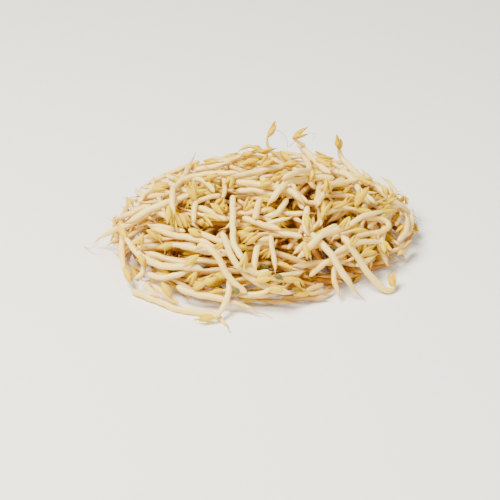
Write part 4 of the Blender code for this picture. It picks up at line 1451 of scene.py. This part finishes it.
points, faces = [], []
for right, up in COATS:
    middle = way_to_rest(right, up, np.zeros((1, 3)), COAT_ROOM)
    coat_points, coat_faces = seed_coat(middle)
    shift = sum(map(len, points))
    points.append(coat_points)
    faces += [tuple(corner + shift for corner in face) for face in coat_faces]
mesh = bpy.data.meshes.new("seed_coats")
mesh.from_pydata(placed(np.vstack(points)).tolist(), [], faces)
mesh.materials.append(coat_material)
mesh.shade_smooth()
coats = bpy.data.objects.new("seed_coats", mesh)
bpy.context.scene.collection.objects.link(coats)
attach(coats, "root")
print("seed coats:", len(COATS))

# %% [markdown]
# ## The floor
# The heap lies on a plain pale floor, one wide square just under the lowest sprouts. A curved
# studio backdrop would do as well, but from above only the flat part would be in view.

# %% The stage
FLOOR_SIZE, FLOOR_GAP = 8.0, 0.0002
half = FLOOR_SIZE / 2
corners = [(-half, -half, 0), (half, -half, 0), (half, half, 0), (-half, half, 0)]
floor_mesh = bpy.data.meshes.new("floor")
floor_mesh.from_pydata(corners, [], [(0, 1, 2, 3)])
floor = bpy.data.objects.new("floor", floor_mesh)
floor.location.z = -FLOOR_GAP
bpy.context.scene.collection.objects.link(floor)
pale, _, _ = new_finish("pale_floor", Base_Color=(0.95, 0.94, 0.92, 1), Roughness=0.8)
floor_mesh.materials.append(pale)
print("floor:", FLOOR_SIZE, "m wide")

# %% [markdown]
# ## Soft lights
# A large lamp up on the left gives the stems their soft shadows, and a weaker one on the right
# lifts them a little. Both are area lights, as wide lamps in a studio are, because a point light
# would give hard edges. A dim warm surrounding light reaches into the gaps.

# %% Soft lights
WORLD_COLOUR, WORLD_STRENGTH = (1.0, 0.97, 0.92, 1), 0.43


def area_light(name, place, size, power, colour):
    light = bpy.data.lights.new(name, "AREA")
    light.size, light.energy, light.color = size, power, colour
    made = bpy.data.objects.new(name, light)
    made.location = place
    made.rotation_euler = (-Vector(place)).to_track_quat("-Z", "Y").to_euler()
    bpy.context.scene.collection.objects.link(made)


area_light("key_light", (-0.5, -0.3, 1.15), 0.6, 52.0, (1.0, 0.95, 0.84))
area_light("fill_light", (0.9, -0.7, 0.8), 1.0, 8.0, (1.0, 0.95, 0.86))
world = bpy.data.worlds.new("studio")
bpy.context.scene.world = world
world.use_nodes = True
surround = world.node_tree.nodes["Background"]
surround.inputs["Color"].default_value = WORLD_COLOUR
surround.inputs["Strength"].default_value = WORLD_STRENGTH
print("lights:", [light.name for light in bpy.data.lights])

# %% [markdown]
# ## The camera
# The heap is seen from about 1.1 metres away and from thirty-one degrees above the floor, through
# a long lens. A long lens keeps near and far sprouts alike in size, and it is aimed at the middle
# of the heap's outline.

# %% The camera
LENS, NEAREST_SEEN = 124.5, 0.05
EYE_PLACE = placed(EYE)
AIM = placed((0, 0, 0))
camera_data = bpy.data.cameras.new("camera")
camera_data.lens = LENS
camera_data.clip_start = NEAREST_SEEN
camera = bpy.data.objects.new("camera", camera_data)
camera.location = EYE_PLACE
camera.rotation_euler = Vector(AIM - EYE_PLACE).to_track_quat("-Z", "Y").to_euler()
bpy.context.scene.collection.objects.link(camera)
bpy.context.scene.camera = camera
print("camera:", np.round(EYE_PLACE, 3), "m, lens:", LENS, "mm")
